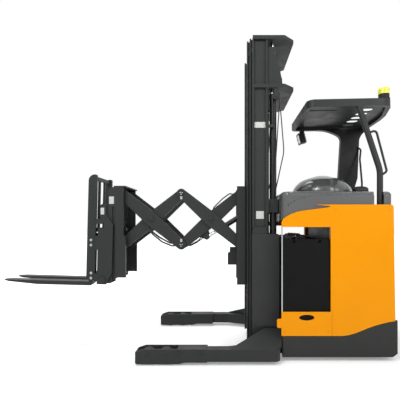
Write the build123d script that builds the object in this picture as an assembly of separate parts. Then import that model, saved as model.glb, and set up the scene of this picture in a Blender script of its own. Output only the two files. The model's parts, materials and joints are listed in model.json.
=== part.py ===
"""Double deep reach truck: a stand-up electric warehouse truck with a three-stage mast and a scissor reach.

Frame: X forward towards the forks, Y to the truck's left, Z up, in millimetres. The origin lies on the floor
under the centre of the truck's bounding box. Lengths along the truck are measured from the front face of the
outer mast (a station u, positive forward) and turned into X by at().
"""

from build123d import *
import os
from math import atan2, cos, degrees, hypot, radians, sin, tan

os.makedirs("parts", exist_ok=True)

# Reach scissor
ARM_LENGTH = 758.0  # pin to pin, with the crossing pin at mid-length
ARM_ANGLE = 41.0  # below the horizontal, as parked
ARM_MID_WIDTH = 128.0
ARM_END_WIDTH = 88.0
ARM_THICKNESS = 22.0
ARM_GAP = 8.0  # between the outer and the inner arm
INNER_ARM_Y = 126.0  # inner face of the inner arm
OUTER_ARM_Y = INNER_ARM_Y + ARM_THICKNESS + ARM_GAP
ARM_TOP_Z = 1474.0  # height of the fixed upper pins
PIN_R = 17.0
PIN_CLEARANCE = 0.05
SLEEVE_R = 27.0
CAP_R = 26.0
CAP_THICKNESS = 7.0
ROLLER_R = 28.1
CARRIAGE_PIVOT = 98.0  # upper pin ahead of the outer mast's front face

ARM_RUN = ARM_LENGTH * cos(radians(ARM_ANGLE))
ARM_DROP = ARM_LENGTH * sin(radians(ARM_ANGLE))
FRAME_PIVOT = CARRIAGE_PIVOT + 2 * ARM_RUN

# Forks and their tilting carriage
TILT_BACK = 1.5  # degrees, as parked
TILT_HINGE_AHEAD = 166.0  # of the fork frame's pins
TILT_HINGE_Z = 652.0
FORK_FACE_AHEAD = 154.0  # load face ahead of the tilt hinge
FORK_LENGTH = 828.0  # from the load face to the tip
FORK_THICKNESS = 38.0
FORK_WIDTH = 100.0
FORK_SPREAD = 236.0  # centre to centre
FORK_TOP_Z = 622.0
FORK_TIP_THICKNESS = 12.0

# Tractor body
BODY_WIDTH = 1100.0
BODY_FRONT = -236.0
SKIRT_FRONT = -246.0
BATTERY_REAR = -659.0
DRIVE_BAY_LENGTH = 532.0  # from the bulkhead behind the battery to the skirt's rear face
WELL_FRONT = BATTERY_REAR - 41
SKIRT_REAR = WELL_FRONT - DRIVE_BAY_LENGTH
BODY_REAR = SKIRT_REAR + 20
SKIRT_BOTTOM_Z = 39.0
SKIRT_DEPTH = 30.0
SKIRT_RISE = 130.0  # of the skirt's rear corner above its level part
PANEL_BOTTOM_Z = 223.0
PANEL_TOP_Z = 1348.0
PANEL_THICKNESS = 10.0
BATTERY_SILL_Z = 428.0
BATTERY_OPEN_Z = 1155.0
BATTERY_TOP_Z = 1052.0
BATTERY_HEIGHT = 790.0
COVER_TOP_Z = 1463.0
COVER_WALL = 12.0
DECK_Z = 240.0
BEARING_Z = 410.0  # plate that carries the drive unit
SPLIT_Y = 85.0  # wall between the operator's place and the drive compartment
WELL_SIDE = 98.0  # between the operator's place and the outside of the body
WELL_Y = BODY_WIDTH / 2 - WELL_SIDE
panel_out = BODY_WIDTH / 2
panel_in = panel_out - PANEL_THICKNESS
skirt_out = panel_out - 4
skirt_in = skirt_out - SKIRT_DEPTH

# Where the ends of the truck lie
GUARD_OVERHANG = 106.0  # of the guard behind the skirt
GUARD_REAR = SKIRT_REAR - GUARD_OVERHANG
TILT_HINGE = FRAME_PIVOT + TILT_HINGE_AHEAD
FORK_TIP = TILT_HINGE + (FORK_FACE_AHEAD + FORK_LENGTH) * cos(radians(TILT_BACK))
ORIGIN = (FORK_TIP + GUARD_REAR) / 2

# Straddle legs
TRUCK_WIDTH = 1270.0
LEG_TIP = 996.0
LEG_TOP_Z = 133.0
LEG_BOTTOM_Z = 33.0
LEG_BEAM_WIDTH = 97.0
LEG_REAR = -216.0
LEG_ROOT_Y = 430.0  # where the legs meet the member under the mast
WHEEL_BOX_WIDTH = 122.0
WHEEL_BOX_BOTTOM_Z = 13.0
WHEEL_BOX_REAR = 397.0
WHEEL_BOX_PLATE = 16.0
LOAD_WHEEL_R = 67.0
LOAD_WHEEL_WIDTH = 76.0
LOAD_WHEEL_PITCH = 146.0
LOAD_WHEEL_FRONT = 893.0
LOAD_AXLE_R = 14.0

# Mast: three nested pairs of rails
MAST_TOP_Z = 2850.0
TIE_DROP = 438.0  # of the lower cross plate below the top
MAST_BOTTOM_Z = 133.0
RAIL_DEPTH = 136.0
RAIL_FLANGE = 14.0
RAIL_WEB = 12.0
RAIL_STEP = 22.0  # each nested rail stands this far ahead of the one outside it
OUTER_RAIL_Y = 326.0
MIDDLE_RAIL_Y = 264.0
INNER_RAIL_Y = 202.0
RAIL_WIDTH = 56.0
TIE_THICKNESS = 34.0
TIE_REACH = 385.0  # how far the cross plates run back from the mast's front
LOWER_TIE_Z = MAST_TOP_Z - TIE_DROP
CHEEK_TOP_Z = 1092.0
CHEEK_REAR = -240.0
CYLINDER_Y = 300.0
CYLINDER_BACK = 194.0  # axis behind the mast's front face
CYLINDER_R = 32.0
ROD_R = 22.0
ROD_CLEARANCE = 0.3
ROLLER_RUN = 0.4  # between a roller and the flanges it runs between
MAST_ROLLER_R = RAIL_DEPTH / 2 - RAIL_FLANGE - ROLLER_RUN
MAST_ROLLER_WIDTH = 20.0
MAST_STUB_R = 20.0
RAIL_GAP = 5.0  # between a roller and the channel it runs in

# Reach carriage and fork frame: upright channels that the scissor's lower rollers run in
CHANNEL_Y = 190.0  # open side
CHANNEL_OUT_Y = 226.0
CHANNEL_PLATE = 10.0
REAR_CHANNEL_DEPTH = 77.0
FRONT_CHANNEL_DEPTH = 98.0
CARRIAGE_BOTTOM_Z = 605.0
CARRIAGE_TOP_Z = 1537.0
FORK_FRAME_BOTTOM_Z = 672.0
FORK_FRAME_TOP_Z = 1529.0

# Reach cylinders, between the carriage and the rear inner arms
REACH_CYLINDER_Y = 92.0
REACH_EYE = (-20.0, 1330.0)  # on the carriage
REACH_LUG_ALONG = 527.0  # of the upper pin, along the arm
REACH_LUG_BELOW = 102.0  # the arm's centre line
REACH_BARREL_R = 25.0
REACH_ROD_R = 14.0
REACH_PIN_R = 12.0
REACH_EYE_DRIFT = 6.8
EYE_WIDTH = 28.0

# Tilt cylinder, between the fork frame and the fork carriage
TILT_EYE_AHEAD = 20.0  # of the fork frame's pins
TILT_EYE_Z = 1122.0
TILT_LUG_AHEAD = 34.0  # of the tilt hinge
TILT_LUG_Z = 1092.0
TILT_BARREL_R = 32.0
TILT_ROD_R = 13.0
TILT_PIN_R = 12.0

# Overhead guard
GUARD_FRONT = -488.0
GUARD_INSET = 110.0  # from the side of the body
GUARD_HALF_WIDTH = BODY_WIDTH / 2 - GUARD_INSET
GUARD_BOTTOM_Z = 2218.0
GUARD_RIM_HEIGHT = 66.0
GUARD_SLOPE = 1.2  # degrees, rising to the rear

# Drive wheel and caster
DRIVE_WHEEL_R = 165.0
DRIVE_WHEEL_WIDTH = 112.0
DRIVE_FLANGE_R = 132.0
DRIVE_AT = (WELL_FRONT - DRIVE_BAY_LENGTH / 2 - 2, DRIVE_FLANGE_R + 74 - skirt_in)
CASTER_WHEEL_R = 75.0
CASTER_TRAIL = 42.0
CASTER_AT = (SKIRT_REAR + 182, skirt_in - 186)


def at(u):
    """X of a station measured forward from the outer mast's front face."""
    return u - ORIGIN


def block(u0, u1, y0, y1, z0, z1):
    """Box between two stations, two Y values and two heights."""
    centre = Pos(at((u0 + u1) / 2), (y0 + y1) / 2, (z0 + z1) / 2)
    return centre * Box(abs(u1 - u0), abs(y1 - y0), abs(z1 - z0))


def rod_y(u, z, radius, y0, y1):
    """Round bar along Y."""
    return Pos(at(u), (y0 + y1) / 2, z) * Rot(90, 0, 0) * Cylinder(radius, abs(y1 - y0))


def rod_z(u, y, radius, z0, z1):
    """Upright round bar."""
    return Pos(at(u), y, (z0 + z1) / 2) * Cylinder(radius, abs(z1 - z0))


def side_plate(outline, y0, y1):
    """Plate whose outline is drawn in the side view as (u, z) corners."""
    wire = Polyline([(at(u), y0, z) for u, z in outline], close=True)
    return extrude(make_face(wire), amount=y1 - y0, dir=(0, 1, 0))


def floor_plate(outline, z0, z1):
    """Plate whose outline is drawn from above as (u, y) corners."""
    wire = Polyline([(at(u), y, z0) for u, y in outline], close=True)
    return extrude(make_face(wire), amount=z1 - z0, dir=(0, 0, 1))


def both_sides(shape):
    """The shape and its mirror image across the truck's centre plane, fused."""
    return shape + mirror(shape, about=Plane.XZ)


def turned(shape, u, z, angle):
    """The shape turned about an axis along Y through a station and height, nose down if positive."""
    return shape.rotate(Axis((at(u), 0, z), (0, 1, 0)), angle)


def group(*shapes):
    """One node made of separate solids."""
    return Compound(children=[s for shape in shapes for s in shape.solids()])


nodes = {}


def wheel(u, y, z, radius, width, hub_radius, bore):
    """Tyre with rounded shoulders and a hub, both bored, as (tyre, hub)."""
    shoulder = 8.0
    across = Axis((at(u), y, z), (0, 1, 0))
    half = width / 2
    section = Polyline(
        [
            (at(u), y - half, z + hub_radius),
            (at(u), y - half, z + radius - shoulder),
            (at(u), y - half + shoulder, z + radius),
            (at(u), y + half - shoulder, z + radius),
            (at(u), y + half, z + radius - shoulder),
            (at(u), y + half, z + hub_radius),
        ],
        close=True,
    )
    tyre = revolve(make_face(section), across, 360)
    hub = rod_y(u, z, hub_radius, y - half + 3, y + half - 3)
    for side in (-1, 1):
        face = y + side * (half - 3)
        hub -= rod_y(u, z, hub_radius - 9, face - side * 7, face)
        hub += rod_y(u, z, bore + 12, face - side * 7, face)
    return tyre, hub - rod_y(u, z, bore, y - half, y + half)


def straddle_leg():
    """Left leg: beam, open wheel box, cap plate and the gusset that rises to the mast's foot."""
    outer = TRUCK_WIDTH / 2
    beam_in = outer - LEG_BEAM_WIDTH
    box_in = outer - WHEEL_BOX_WIDTH
    corner = 26.0
    beam = floor_plate(
        [
            (WHEEL_BOX_REAR + 20, beam_in),
            (WHEEL_BOX_REAR + 20, outer),
            (LEG_REAR + corner, outer),
            (LEG_REAR, outer - corner),
            (LEG_REAR, beam_in),
        ],
        LEG_BOTTOM_Z,
        LEG_TOP_Z,
    )
    box = side_plate(
        [
            (WHEEL_BOX_REAR, LEG_BOTTOM_Z - 6),
            (WHEEL_BOX_REAR, LEG_TOP_Z + 4),
            (LEG_TIP - 66, LEG_TOP_Z + 4),
            (LEG_TIP, LEG_TOP_Z - 18),
            (LEG_TIP, WHEEL_BOX_BOTTOM_Z + 10),
            (LEG_TIP - 12, WHEEL_BOX_BOTTOM_Z),
            (LEG_TIP - 356, WHEEL_BOX_BOTTOM_Z),
            (LEG_TIP - 414, LEG_BOTTOM_Z - 6),
        ],
        box_in,
        outer,
    )
    well = block(
        LEG_TIP - 350, LEG_TIP - 14, box_in + WHEEL_BOX_PLATE, outer - WHEEL_BOX_PLATE, 0, 200
    )
    box -= well
    gusset_foot, gusset_head, gusset_z = 222.0, -98.0, 255.0
    gusset = floor_plate(
        [
            (gusset_foot, outer),
            (gusset_head, LEG_ROOT_Y),
            (CHEEK_REAR - 9, LEG_ROOT_Y),
            (CHEEK_REAR - 9, LEG_ROOT_Y + 66),
            (LEG_REAR - 14, outer - 48),
            (LEG_REAR + 24, outer - 10),
            (LEG_REAR + 44, outer),
        ],
        LEG_TOP_Z - 1,
        gusset_z,
    )
    slope = Polyline(
        [
            (0, outer, LEG_TOP_Z),
            (0, LEG_ROOT_Y, gusset_z),
            (0, LEG_ROOT_Y, gusset_z + 50),
            (0, outer + 50, gusset_z + 50),
            (0, outer + 50, LEG_TOP_Z),
        ],
        close=True,
    )
    above = extrude(make_face(slope), amount=gusset_foot - CHEEK_REAR + 40, dir=(1, 0, 0))
    gusset -= above.moved(Location((at(CHEEK_REAR - 20), 0, 0)))
    root_plate = floor_plate(
        [
            (gusset_foot, beam_in + 1),
            (gusset_head, LEG_ROOT_Y),
            (LEG_REAR, LEG_ROOT_Y),
            (LEG_REAR, beam_in + 1),
        ],
        LEG_BOTTOM_Z,
        LEG_TOP_Z,
    )
    leg = beam + box + root_plate + gusset
    pin_z = 92.0
    for pin_u in (630.0, 455.0):
        leg -= rod_y(pin_u, pin_z, 27, outer - 9, outer + 1)
        leg += rod_y(pin_u, pin_z, 17, outer - 10, outer - 1)
    for n in range(2):
        axle_u = LOAD_WHEEL_FRONT - n * LOAD_WHEEL_PITCH
        leg += rod_y(axle_u, LOAD_WHEEL_R, LOAD_AXLE_R, box_in + 6, outer - 6)
    return leg


leg = straddle_leg()
nodes["leg_left"] = leg
nodes["leg_right"] = mirror(leg, about=Plane.XZ)

wheel_y = TRUCK_WIDTH / 2 - WHEEL_BOX_WIDTH / 2
for side_name, side in (("left", 1), ("right", -1)):
    for n, place in enumerate(("front", "rear")):
        tyre, hub = wheel(
            LOAD_WHEEL_FRONT - n * LOAD_WHEEL_PITCH,
            side * wheel_y,
            LOAD_WHEEL_R,
            LOAD_WHEEL_R,
            LOAD_WHEEL_WIDTH,
            46.0,
            LOAD_AXLE_R + PIN_CLEARANCE,
        )
        nodes[f"load_wheel_{side_name}_{place}"] = tyre + hub


def rail(inner_y, front_u, bottom_z, top_z):
    """Left mast rail: an I-section with its flanges across the truck."""
    outer_y = inner_y + RAIL_WIDTH
    web_in = inner_y + (RAIL_WIDTH - RAIL_WEB) / 2
    web_out = web_in + RAIL_WEB
    rear_u = front_u - RAIL_DEPTH
    outline = [
        (front_u, inner_y),
        (front_u, outer_y),
        (front_u - RAIL_FLANGE, outer_y),
        (front_u - RAIL_FLANGE, web_out),
        (rear_u + RAIL_FLANGE, web_out),
        (rear_u + RAIL_FLANGE, outer_y),
        (rear_u, outer_y),
        (rear_u, inner_y),
        (rear_u + RAIL_FLANGE, inner_y),
        (rear_u + RAIL_FLANGE, web_in),
        (front_u - RAIL_FLANGE, web_in),
        (front_u - RAIL_FLANGE, inner_y),
    ]
    return floor_plate(outline, bottom_z, top_z)


def rail_roller(carrier_y, into_y, channel_front_u, z, inward):
    """Roller and its stub on the rail at carrier_y, running in the channel of the rail at into_y."""
    centre_u = channel_front_u - RAIL_DEPTH / 2
    side_width = (RAIL_WIDTH - RAIL_WEB) / 2
    if inward:
        channel_floor = into_y + side_width + RAIL_WEB
        start = channel_floor + RAIL_GAP
        stub_end = carrier_y + side_width + 1
    else:
        channel_floor = into_y + side_width
        start = channel_floor - RAIL_GAP
        stub_end = carrier_y + side_width + RAIL_WEB - 1
    width = MAST_ROLLER_WIDTH if inward else -MAST_ROLLER_WIDTH
    roller = rod_y(centre_u, z, MAST_ROLLER_R, *sorted((start, start + width)))
    stub = rod_y(centre_u, z, MAST_STUB_R, *sorted((start, stub_end)))
    return roller + stub


MIDDLE_FRONT = RAIL_STEP
INNER_FRONT = 2 * RAIL_STEP
ROLLER_TOP_Z = MAST_TOP_Z - 75
ROLLER_BOTTOM_Z = MAST_BOTTOM_Z + 130

outer_half = rail(OUTER_RAIL_Y, 0, MAST_BOTTOM_Z, MAST_TOP_Z - 6)
outer_half += rail_roller(OUTER_RAIL_Y, MIDDLE_RAIL_Y, MIDDLE_FRONT, ROLLER_TOP_Z, True)
cheek_y = OUTER_RAIL_Y + RAIL_WIDTH
cheek = side_plate(
    [
        (6, MAST_BOTTOM_Z),
        (6, CHEEK_TOP_Z),
        (CHEEK_REAR + 14, CHEEK_TOP_Z),
        (CHEEK_REAR, CHEEK_TOP_Z - 14),
        (CHEEK_REAR, MAST_BOTTOM_Z),
    ],
    cheek_y - 1,
    cheek_y + 12,
)
web_y = OUTER_RAIL_Y + (RAIL_WIDTH - RAIL_WEB) / 2
tie_top = LOWER_TIE_Z + TIE_THICKNESS
tie_gusset = side_plate(
    [
        (-RAIL_DEPTH + 1, tie_top - 1),
        (-RAIL_DEPTH + 1, MAST_TOP_Z - 60),
        (-340, MAST_TOP_Z - 60),
        (-346, MAST_TOP_Z - 87),
        (-216, MAST_TOP_Z - 87),
        (-204, MAST_TOP_Z - 104),
        (-209, MAST_TOP_Z - 150),
        (-251, MAST_TOP_Z - 270),
        (-262, tie_top + 74),
        (-270, tie_top + 52),
        (-272, tie_top - 1),
    ],
    web_y,
    web_y + RAIL_WEB,
)
outer_half += cheek + tie_gusset
mast_outer = both_sides(outer_half)
tie_half = TIE_REACH
lower_tie = floor_plate(
    [
        (-2, tie_half),
        (-TIE_REACH + 95, tie_half),
        (-TIE_REACH, tie_half - 95),
        (-TIE_REACH, 95 - tie_half),
        (-TIE_REACH + 95, -tie_half),
        (-2, -tie_half),
        (-2, -OUTER_RAIL_Y),
        (-RAIL_DEPTH - 2, -OUTER_RAIL_Y),
        (-RAIL_DEPTH - 2, OUTER_RAIL_Y),
        (-2, OUTER_RAIL_Y),
    ],
    LOWER_TIE_Z,
    LOWER_TIE_Z + TIE_THICKNESS,
)
for side in (-1, 1):
    lower_tie -= rod_z(-CYLINDER_BACK, side * CYLINDER_Y, ROD_R + 6, LOWER_TIE_Z - 1, tie_top + 1)
mast_outer += lower_tie
CLAMP_Z = 1285.0
CLAMP_HEIGHT = 124.0
CLAMP_WALL = 8.0
for foot_z, height in ((MAST_BOTTOM_Z + 20, 150.0), (CLAMP_Z, CLAMP_HEIGHT)):
    span = OUTER_RAIL_Y + RAIL_WIDTH - 4
    mast_outer += block(-RAIL_DEPTH - 12, -RAIL_DEPTH + 1, -span, span, foot_z, foot_z + height)
for side in (-1, 1):
    clamp = block(
        -CYLINDER_BACK - CYLINDER_R - CLAMP_WALL,
        -RAIL_DEPTH - 11,
        side * CYLINDER_Y - 46,
        side * CYLINDER_Y + 46,
        CLAMP_Z,
        CLAMP_Z + CLAMP_HEIGHT,
    )
    mast_outer += clamp
    mast_outer -= rod_z(
        -CYLINDER_BACK, side * CYLINDER_Y, CYLINDER_R, CLAMP_Z - 1, CLAMP_Z + CLAMP_HEIGHT + 1
    )
# Forked brackets under the lower cross plate, with the sheaves that lead the hoses down
SHEAVE_AT = (-214.0, LOWER_TIE_Z - 66)
SHEAVE_R = 32.0
SHEAVE_HUB_R = 28.7
SHEAVE_Y = CYLINDER_Y + 58
HOSE_PITCH = 11.0
HOSE_GUIDE_Z = LOWER_TIE_Z - 330
for side in (-1, 1):
    y = side * SHEAVE_Y
    for cheek_y0 in (y - 19, y + 13):
        mast_outer += side_plate(
            [
                (SHEAVE_AT[0] + 22, LOWER_TIE_Z + 1),
                (SHEAVE_AT[0] + 14, SHEAVE_AT[1] - 16),
                (SHEAVE_AT[0] - 14, SHEAVE_AT[1] - 16),
                (SHEAVE_AT[0] - 22, LOWER_TIE_Z + 1),
            ],
            cheek_y0,
            cheek_y0 + 6,
        )
    mast_outer += rod_y(*SHEAVE_AT, SHEAVE_HUB_R, y - 13.5, y + 13.5)
    for rim_y in (y - 13.5, y + 11.5):
        mast_outer += rod_y(*SHEAVE_AT, SHEAVE_R + 4, rim_y, rim_y + 2)
    mast_outer += block(-RAIL_DEPTH + 1, SHEAVE_AT[0] + 22, y - 12, y + 12, HOSE_GUIDE_Z - 24, HOSE_GUIDE_Z)
nodes["mast_outer"] = mast_outer

middle_half = rail(MIDDLE_RAIL_Y, MIDDLE_FRONT, MAST_BOTTOM_Z + 8, MAST_TOP_Z + TIE_THICKNESS)
middle_half += rail_roller(MIDDLE_RAIL_Y, OUTER_RAIL_Y, 0, ROLLER_BOTTOM_Z, False)
middle_half += rail_roller(MIDDLE_RAIL_Y, INNER_RAIL_Y, INNER_FRONT, ROLLER_TOP_Z, True)
mast_middle = both_sides(middle_half)
crosshead = floor_plate(
    [
        (-2, tie_half),
        (-TIE_REACH + 95, tie_half),
        (-TIE_REACH, tie_half - 95),
        (-TIE_REACH, 95 - tie_half),
        (-TIE_REACH + 95, -tie_half),
        (-2, -tie_half),
        (-2, -MIDDLE_RAIL_Y - 4),
        (MIDDLE_FRONT - RAIL_DEPTH + 2, -MIDDLE_RAIL_Y - 4),
        (MIDDLE_FRONT - RAIL_DEPTH + 2, MIDDLE_RAIL_Y + 4),
        (-2, MIDDLE_RAIL_Y + 4),
    ],
    MAST_TOP_Z,
    MAST_TOP_Z + TIE_THICKNESS,
)
mast_middle += crosshead
middle_rear = MIDDLE_FRONT - RAIL_DEPTH
for foot_z, height in ((MAST_BOTTOM_Z + 40, 140.0), (1450.0, 110.0)):
    mast_middle += block(
        middle_rear, middle_rear + 13, -MIDDLE_RAIL_Y - 4, MIDDLE_RAIL_Y + 4, foot_z, foot_z + height
    )
nodes["mast_middle"] = mast_middle

INNER_BOTTOM_Z = 60.0
inner_half = rail(INNER_RAIL_Y, INNER_FRONT, INNER_BOTTOM_Z, MAST_TOP_Z + TIE_THICKNESS + 6)
inner_half += rail_roller(
    INNER_RAIL_Y, MIDDLE_RAIL_Y, MIDDLE_FRONT, ROLLER_BOTTOM_Z - 70, False
)
mast_inner = both_sides(inner_half)
inner_rear = INNER_FRONT - RAIL_DEPTH
for foot_z, height in ((INNER_BOTTOM_Z, 150.0), (1580.0, 110.0), (MAST_TOP_Z - 120, 150.0)):
    mast_inner += block(
        inner_rear, inner_rear + 13, -INNER_RAIL_Y - 4, INNER_RAIL_Y + 4, foot_z, foot_z + height
    )
nodes["mast_inner"] = mast_inner

barrels = []
rods = []
for side in (-1, 1):
    y = side * CYLINDER_Y
    barrel = rod_z(-CYLINDER_BACK, y, CYLINDER_R, MAST_BOTTOM_Z, LOWER_TIE_Z - 60)
    barrel += rod_z(-CYLINDER_BACK, y, CYLINDER_R + 5, LOWER_TIE_Z - 100, LOWER_TIE_Z - 40)
    bore = rod_z(-CYLINDER_BACK, y, ROD_R + ROD_CLEARANCE, MAST_BOTTOM_Z + 60, LOWER_TIE_Z)
    barrels.append(barrel - bore)
    rods.append(rod_z(-CYLINDER_BACK, y, ROD_R, MAST_BOTTOM_Z + 80, MAST_TOP_Z))
nodes["lift_cylinders"] = group(*barrels)
nodes["lift_rods"] = group(*rods)


def channel(rear_u, depth, bottom_z, top_z):
    """Left upright channel, open towards the middle of the truck."""
    front_u = rear_u + depth
    web_y = CHANNEL_OUT_Y - CHANNEL_PLATE
    outline = [
        (rear_u, CHANNEL_Y),
        (rear_u, CHANNEL_OUT_Y),
        (front_u, CHANNEL_OUT_Y),
        (front_u, CHANNEL_Y),
        (front_u - CHANNEL_PLATE, CHANNEL_Y),
        (front_u - CHANNEL_PLATE, web_y),
        (rear_u + CHANNEL_PLATE, web_y),
        (rear_u + CHANNEL_PLATE, CHANNEL_Y),
    ]
    return floor_plate(outline, bottom_z, top_z)


def arm_plate(start, end, inner_y):
    """One scissor arm: widest at the crossing, narrow and round at its ends, bored for three pins."""
    half = ARM_LENGTH / 2
    mid, tip, flat = ARM_MID_WIDTH / 2, ARM_END_WIDTH / 2, 60.0
    outer_y = inner_y + ARM_THICKNESS
    centre_u, centre_z = (start[0] + end[0]) / 2, (start[1] + end[1]) / 2
    angle = degrees(atan2(end[1] - start[1], end[0] - start[0]))
    outline = [(-half, -tip), (-flat, -mid), (flat, -mid), (half, -tip)]
    outline += [(-x, -z) for x, z in outline]
    plate = side_plate([(centre_u + x, centre_z + z) for x, z in outline], inner_y, outer_y)
    for x in (-half, half):
        plate += rod_y(centre_u + x, centre_z, tip, inner_y, outer_y)
    for x in (-half, 0, half):
        plate -= rod_y(centre_u + x, centre_z, PIN_R + PIN_CLEARANCE, inner_y - 1, outer_y + 1)
    return turned(plate, centre_u, centre_z, -angle)


def capped_pin(u, z, from_y, to_y):
    """Left half of a pin with a cap on its outer end."""
    return rod_y(u, z, PIN_R, from_y, to_y) + rod_y(u, z, CAP_R, to_y, to_y + CAP_THICKNESS)


carriage_pin = (CARRIAGE_PIVOT, ARM_TOP_Z)
rear_cross = (CARRIAGE_PIVOT + ARM_RUN / 2, ARM_TOP_Z - ARM_DROP / 2)
rear_foot = (CARRIAGE_PIVOT, ARM_TOP_Z - ARM_DROP)
mid_top = (CARRIAGE_PIVOT + ARM_RUN, ARM_TOP_Z)
mid_bottom = (CARRIAGE_PIVOT + ARM_RUN, ARM_TOP_Z - ARM_DROP)
front_cross = (CARRIAGE_PIVOT + 1.5 * ARM_RUN, ARM_TOP_Z - ARM_DROP / 2)
frame_pin = (FRAME_PIVOT, ARM_TOP_Z)
front_foot = (FRAME_PIVOT, ARM_TOP_Z - ARM_DROP)
inner_out = INNER_ARM_Y + ARM_THICKNESS
outer_out = OUTER_ARM_Y + ARM_THICKNESS
roller_out = CHANNEL_OUT_Y - CHANNEL_PLATE - 5
cap_y = outer_out + 1

reach_lug = (
    CARRIAGE_PIVOT
    + REACH_LUG_ALONG * cos(radians(ARM_ANGLE))
    - REACH_LUG_BELOW * sin(radians(ARM_ANGLE)),
    ARM_TOP_Z
    - REACH_LUG_ALONG * sin(radians(ARM_ANGLE))
    - REACH_LUG_BELOW * cos(radians(ARM_ANGLE)),
)
eye_in = REACH_CYLINDER_Y - EYE_WIDTH / 2
eye_out = REACH_CYLINDER_Y + EYE_WIDTH / 2


# Rear inner arms, hung on the carriage's upper pins
half = arm_plate(carriage_pin, mid_bottom, INNER_ARM_Y)
half += rod_y(*rear_cross, SLEEVE_R, 0, INNER_ARM_Y + 1)
half += capped_pin(*rear_cross, INNER_ARM_Y, cap_y)
for lug_in, lug_out in ((eye_in - 11, eye_in - 2), (eye_out + 2, INNER_ARM_Y + 1)):
    lug = side_plate(
        [
            (reach_lug[0] - 20, reach_lug[1] + 14),
            (reach_lug[0] + 10, reach_lug[1] + 110),
            (reach_lug[0] + 118, reach_lug[1] + 16),
            (reach_lug[0] + 14, reach_lug[1] - 20),
        ],
        lug_in,
        lug_out,
    )
    half += lug + rod_y(*reach_lug, 25, lug_in, lug_out)
tie_u, tie_z = reach_lug[0] + 88, reach_lug[1] + 44
half += rod_y(tie_u, tie_z, 20, 0, INNER_ARM_Y + 1)
half += rod_y(*reach_lug, REACH_PIN_R, eye_in - 11, INNER_ARM_Y)
nodes["scissor_rear_inner"] = both_sides(half)

# Rear outer arms, with the upper middle shaft and the rollers that run in the carriage's channels
half = arm_plate(mid_top, rear_foot, OUTER_ARM_Y)
half += rod_y(*mid_top, PIN_R, 0, outer_out)
half += rod_y(*mid_top, SLEEVE_R, 0, INNER_ARM_Y - 1)
half += rod_y(*mid_top, CAP_R, outer_out - 8, outer_out + CAP_THICKNESS)
half += rod_y(*rear_foot, PIN_R + 1, OUTER_ARM_Y, CHANNEL_Y + 3)
half += rod_y(*rear_foot, ROLLER_R, CHANNEL_Y, roller_out)
nodes["scissor_rear_outer"] = both_sides(half)

# Front outer arms, with the lower middle shaft, hung on the fork frame's upper pins
half = arm_plate(mid_bottom, frame_pin, OUTER_ARM_Y)
half += rod_y(*mid_bottom, PIN_R, 0, outer_out)
half += rod_y(*mid_bottom, SLEEVE_R, 0, INNER_ARM_Y - 1)
half += rod_y(*mid_bottom, CAP_R, outer_out - 8, outer_out + CAP_THICKNESS)
nodes["scissor_front_outer"] = both_sides(half)

# Front inner arms, with the rollers that run in the fork frame's channels
half = arm_plate(mid_top, front_foot, INNER_ARM_Y)
half += rod_y(*front_cross, SLEEVE_R, 0, INNER_ARM_Y + 1)
half += capped_pin(*front_cross, INNER_ARM_Y, cap_y)
half += rod_y(*front_foot, SLEEVE_R, 0, INNER_ARM_Y + 1)
half += rod_y(*front_foot, PIN_R + 1, INNER_ARM_Y, CHANNEL_Y + 3)
half += rod_y(*front_foot, ROLLER_R, CHANNEL_Y, roller_out)
nodes["scissor_front_inner"] = both_sides(half)

# Reach carriage
channel_rear = CARRIAGE_PIVOT - REAR_CHANNEL_DEPTH / 2
plate_rear, plate_front = 33.0, 47.0
bracket_in, bracket_out = CHANNEL_Y - 6, INNER_RAIL_Y - RAIL_GAP
half = channel(channel_rear, REAR_CHANNEL_DEPTH, CARRIAGE_BOTTOM_Z, CARRIAGE_TOP_Z)
half += rod_y(*carriage_pin, PIN_R, INNER_ARM_Y, CHANNEL_OUT_Y - 2)
half += rod_y(*carriage_pin, SLEEVE_R, inner_out + 2, CHANNEL_OUT_Y - 2)
half += block(plate_rear, channel_rear + 6, bracket_in, bracket_out, CARRIAGE_BOTTOM_Z, CARRIAGE_TOP_Z)
roller_u = INNER_FRONT - RAIL_DEPTH / 2
rail_floor = INNER_RAIL_Y + (RAIL_WIDTH - RAIL_WEB) / 2
EYE_PLATE_REAR = -70.0
EYE_PLATE_FRONT = -58.0
for z, low in ((700.0, 640.0), (1440.0, 1270.0)):
    half += block(EYE_PLATE_REAR, plate_rear + 2, bracket_in, bracket_out, low, z + 60)
    half += rod_y(roller_u, z, MAST_ROLLER_R, bracket_out - 1, rail_floor - RAIL_GAP)
for z0, z1 in ((620.0, 700.0), (770.0, 950.0), (1400.0, 1530.0)):
    half += block(plate_rear, plate_front, 0, bracket_out, z0, z1)
half += block(EYE_PLATE_REAR, EYE_PLATE_FRONT, 0, bracket_out, 1280, 1380)
for cheek_in, cheek_out in ((eye_in - 10, eye_in - 2), (eye_out + 2, eye_out + 10)):
    cheek = side_plate(
        [
            (EYE_PLATE_FRONT - 1, REACH_EYE[1] - 40),
            (REACH_EYE[0] + 8, REACH_EYE[1] - 21),
            (REACH_EYE[0] + 8, REACH_EYE[1] + 21),
            (EYE_PLATE_FRONT - 1, REACH_EYE[1] + 40),
        ],
        cheek_in,
        cheek_out,
    )
    half += cheek + rod_y(*REACH_EYE, 22, cheek_in, cheek_out)
half += rod_y(*REACH_EYE, REACH_PIN_R, eye_in - 10, eye_out + 10)
valve_front = 225.0
half += side_plate(
    [
        (plate_front - 1, 774),
        (valve_front, 774),
        (valve_front, 884),
        (valve_front - 21, 896),
        (valve_front - 21, 944),
        (plate_front - 1, 944),
    ],
    0,
    58,
)
nodes["reach_carriage"] = both_sides(half)

# Reach cylinders
reach_run = reach_lug[0] - REACH_EYE[0]
reach_rise = reach_lug[1] - REACH_EYE[1]
reach_length = hypot(reach_run, reach_rise)
reach_angle = degrees(atan2(reach_rise, reach_run))


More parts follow.
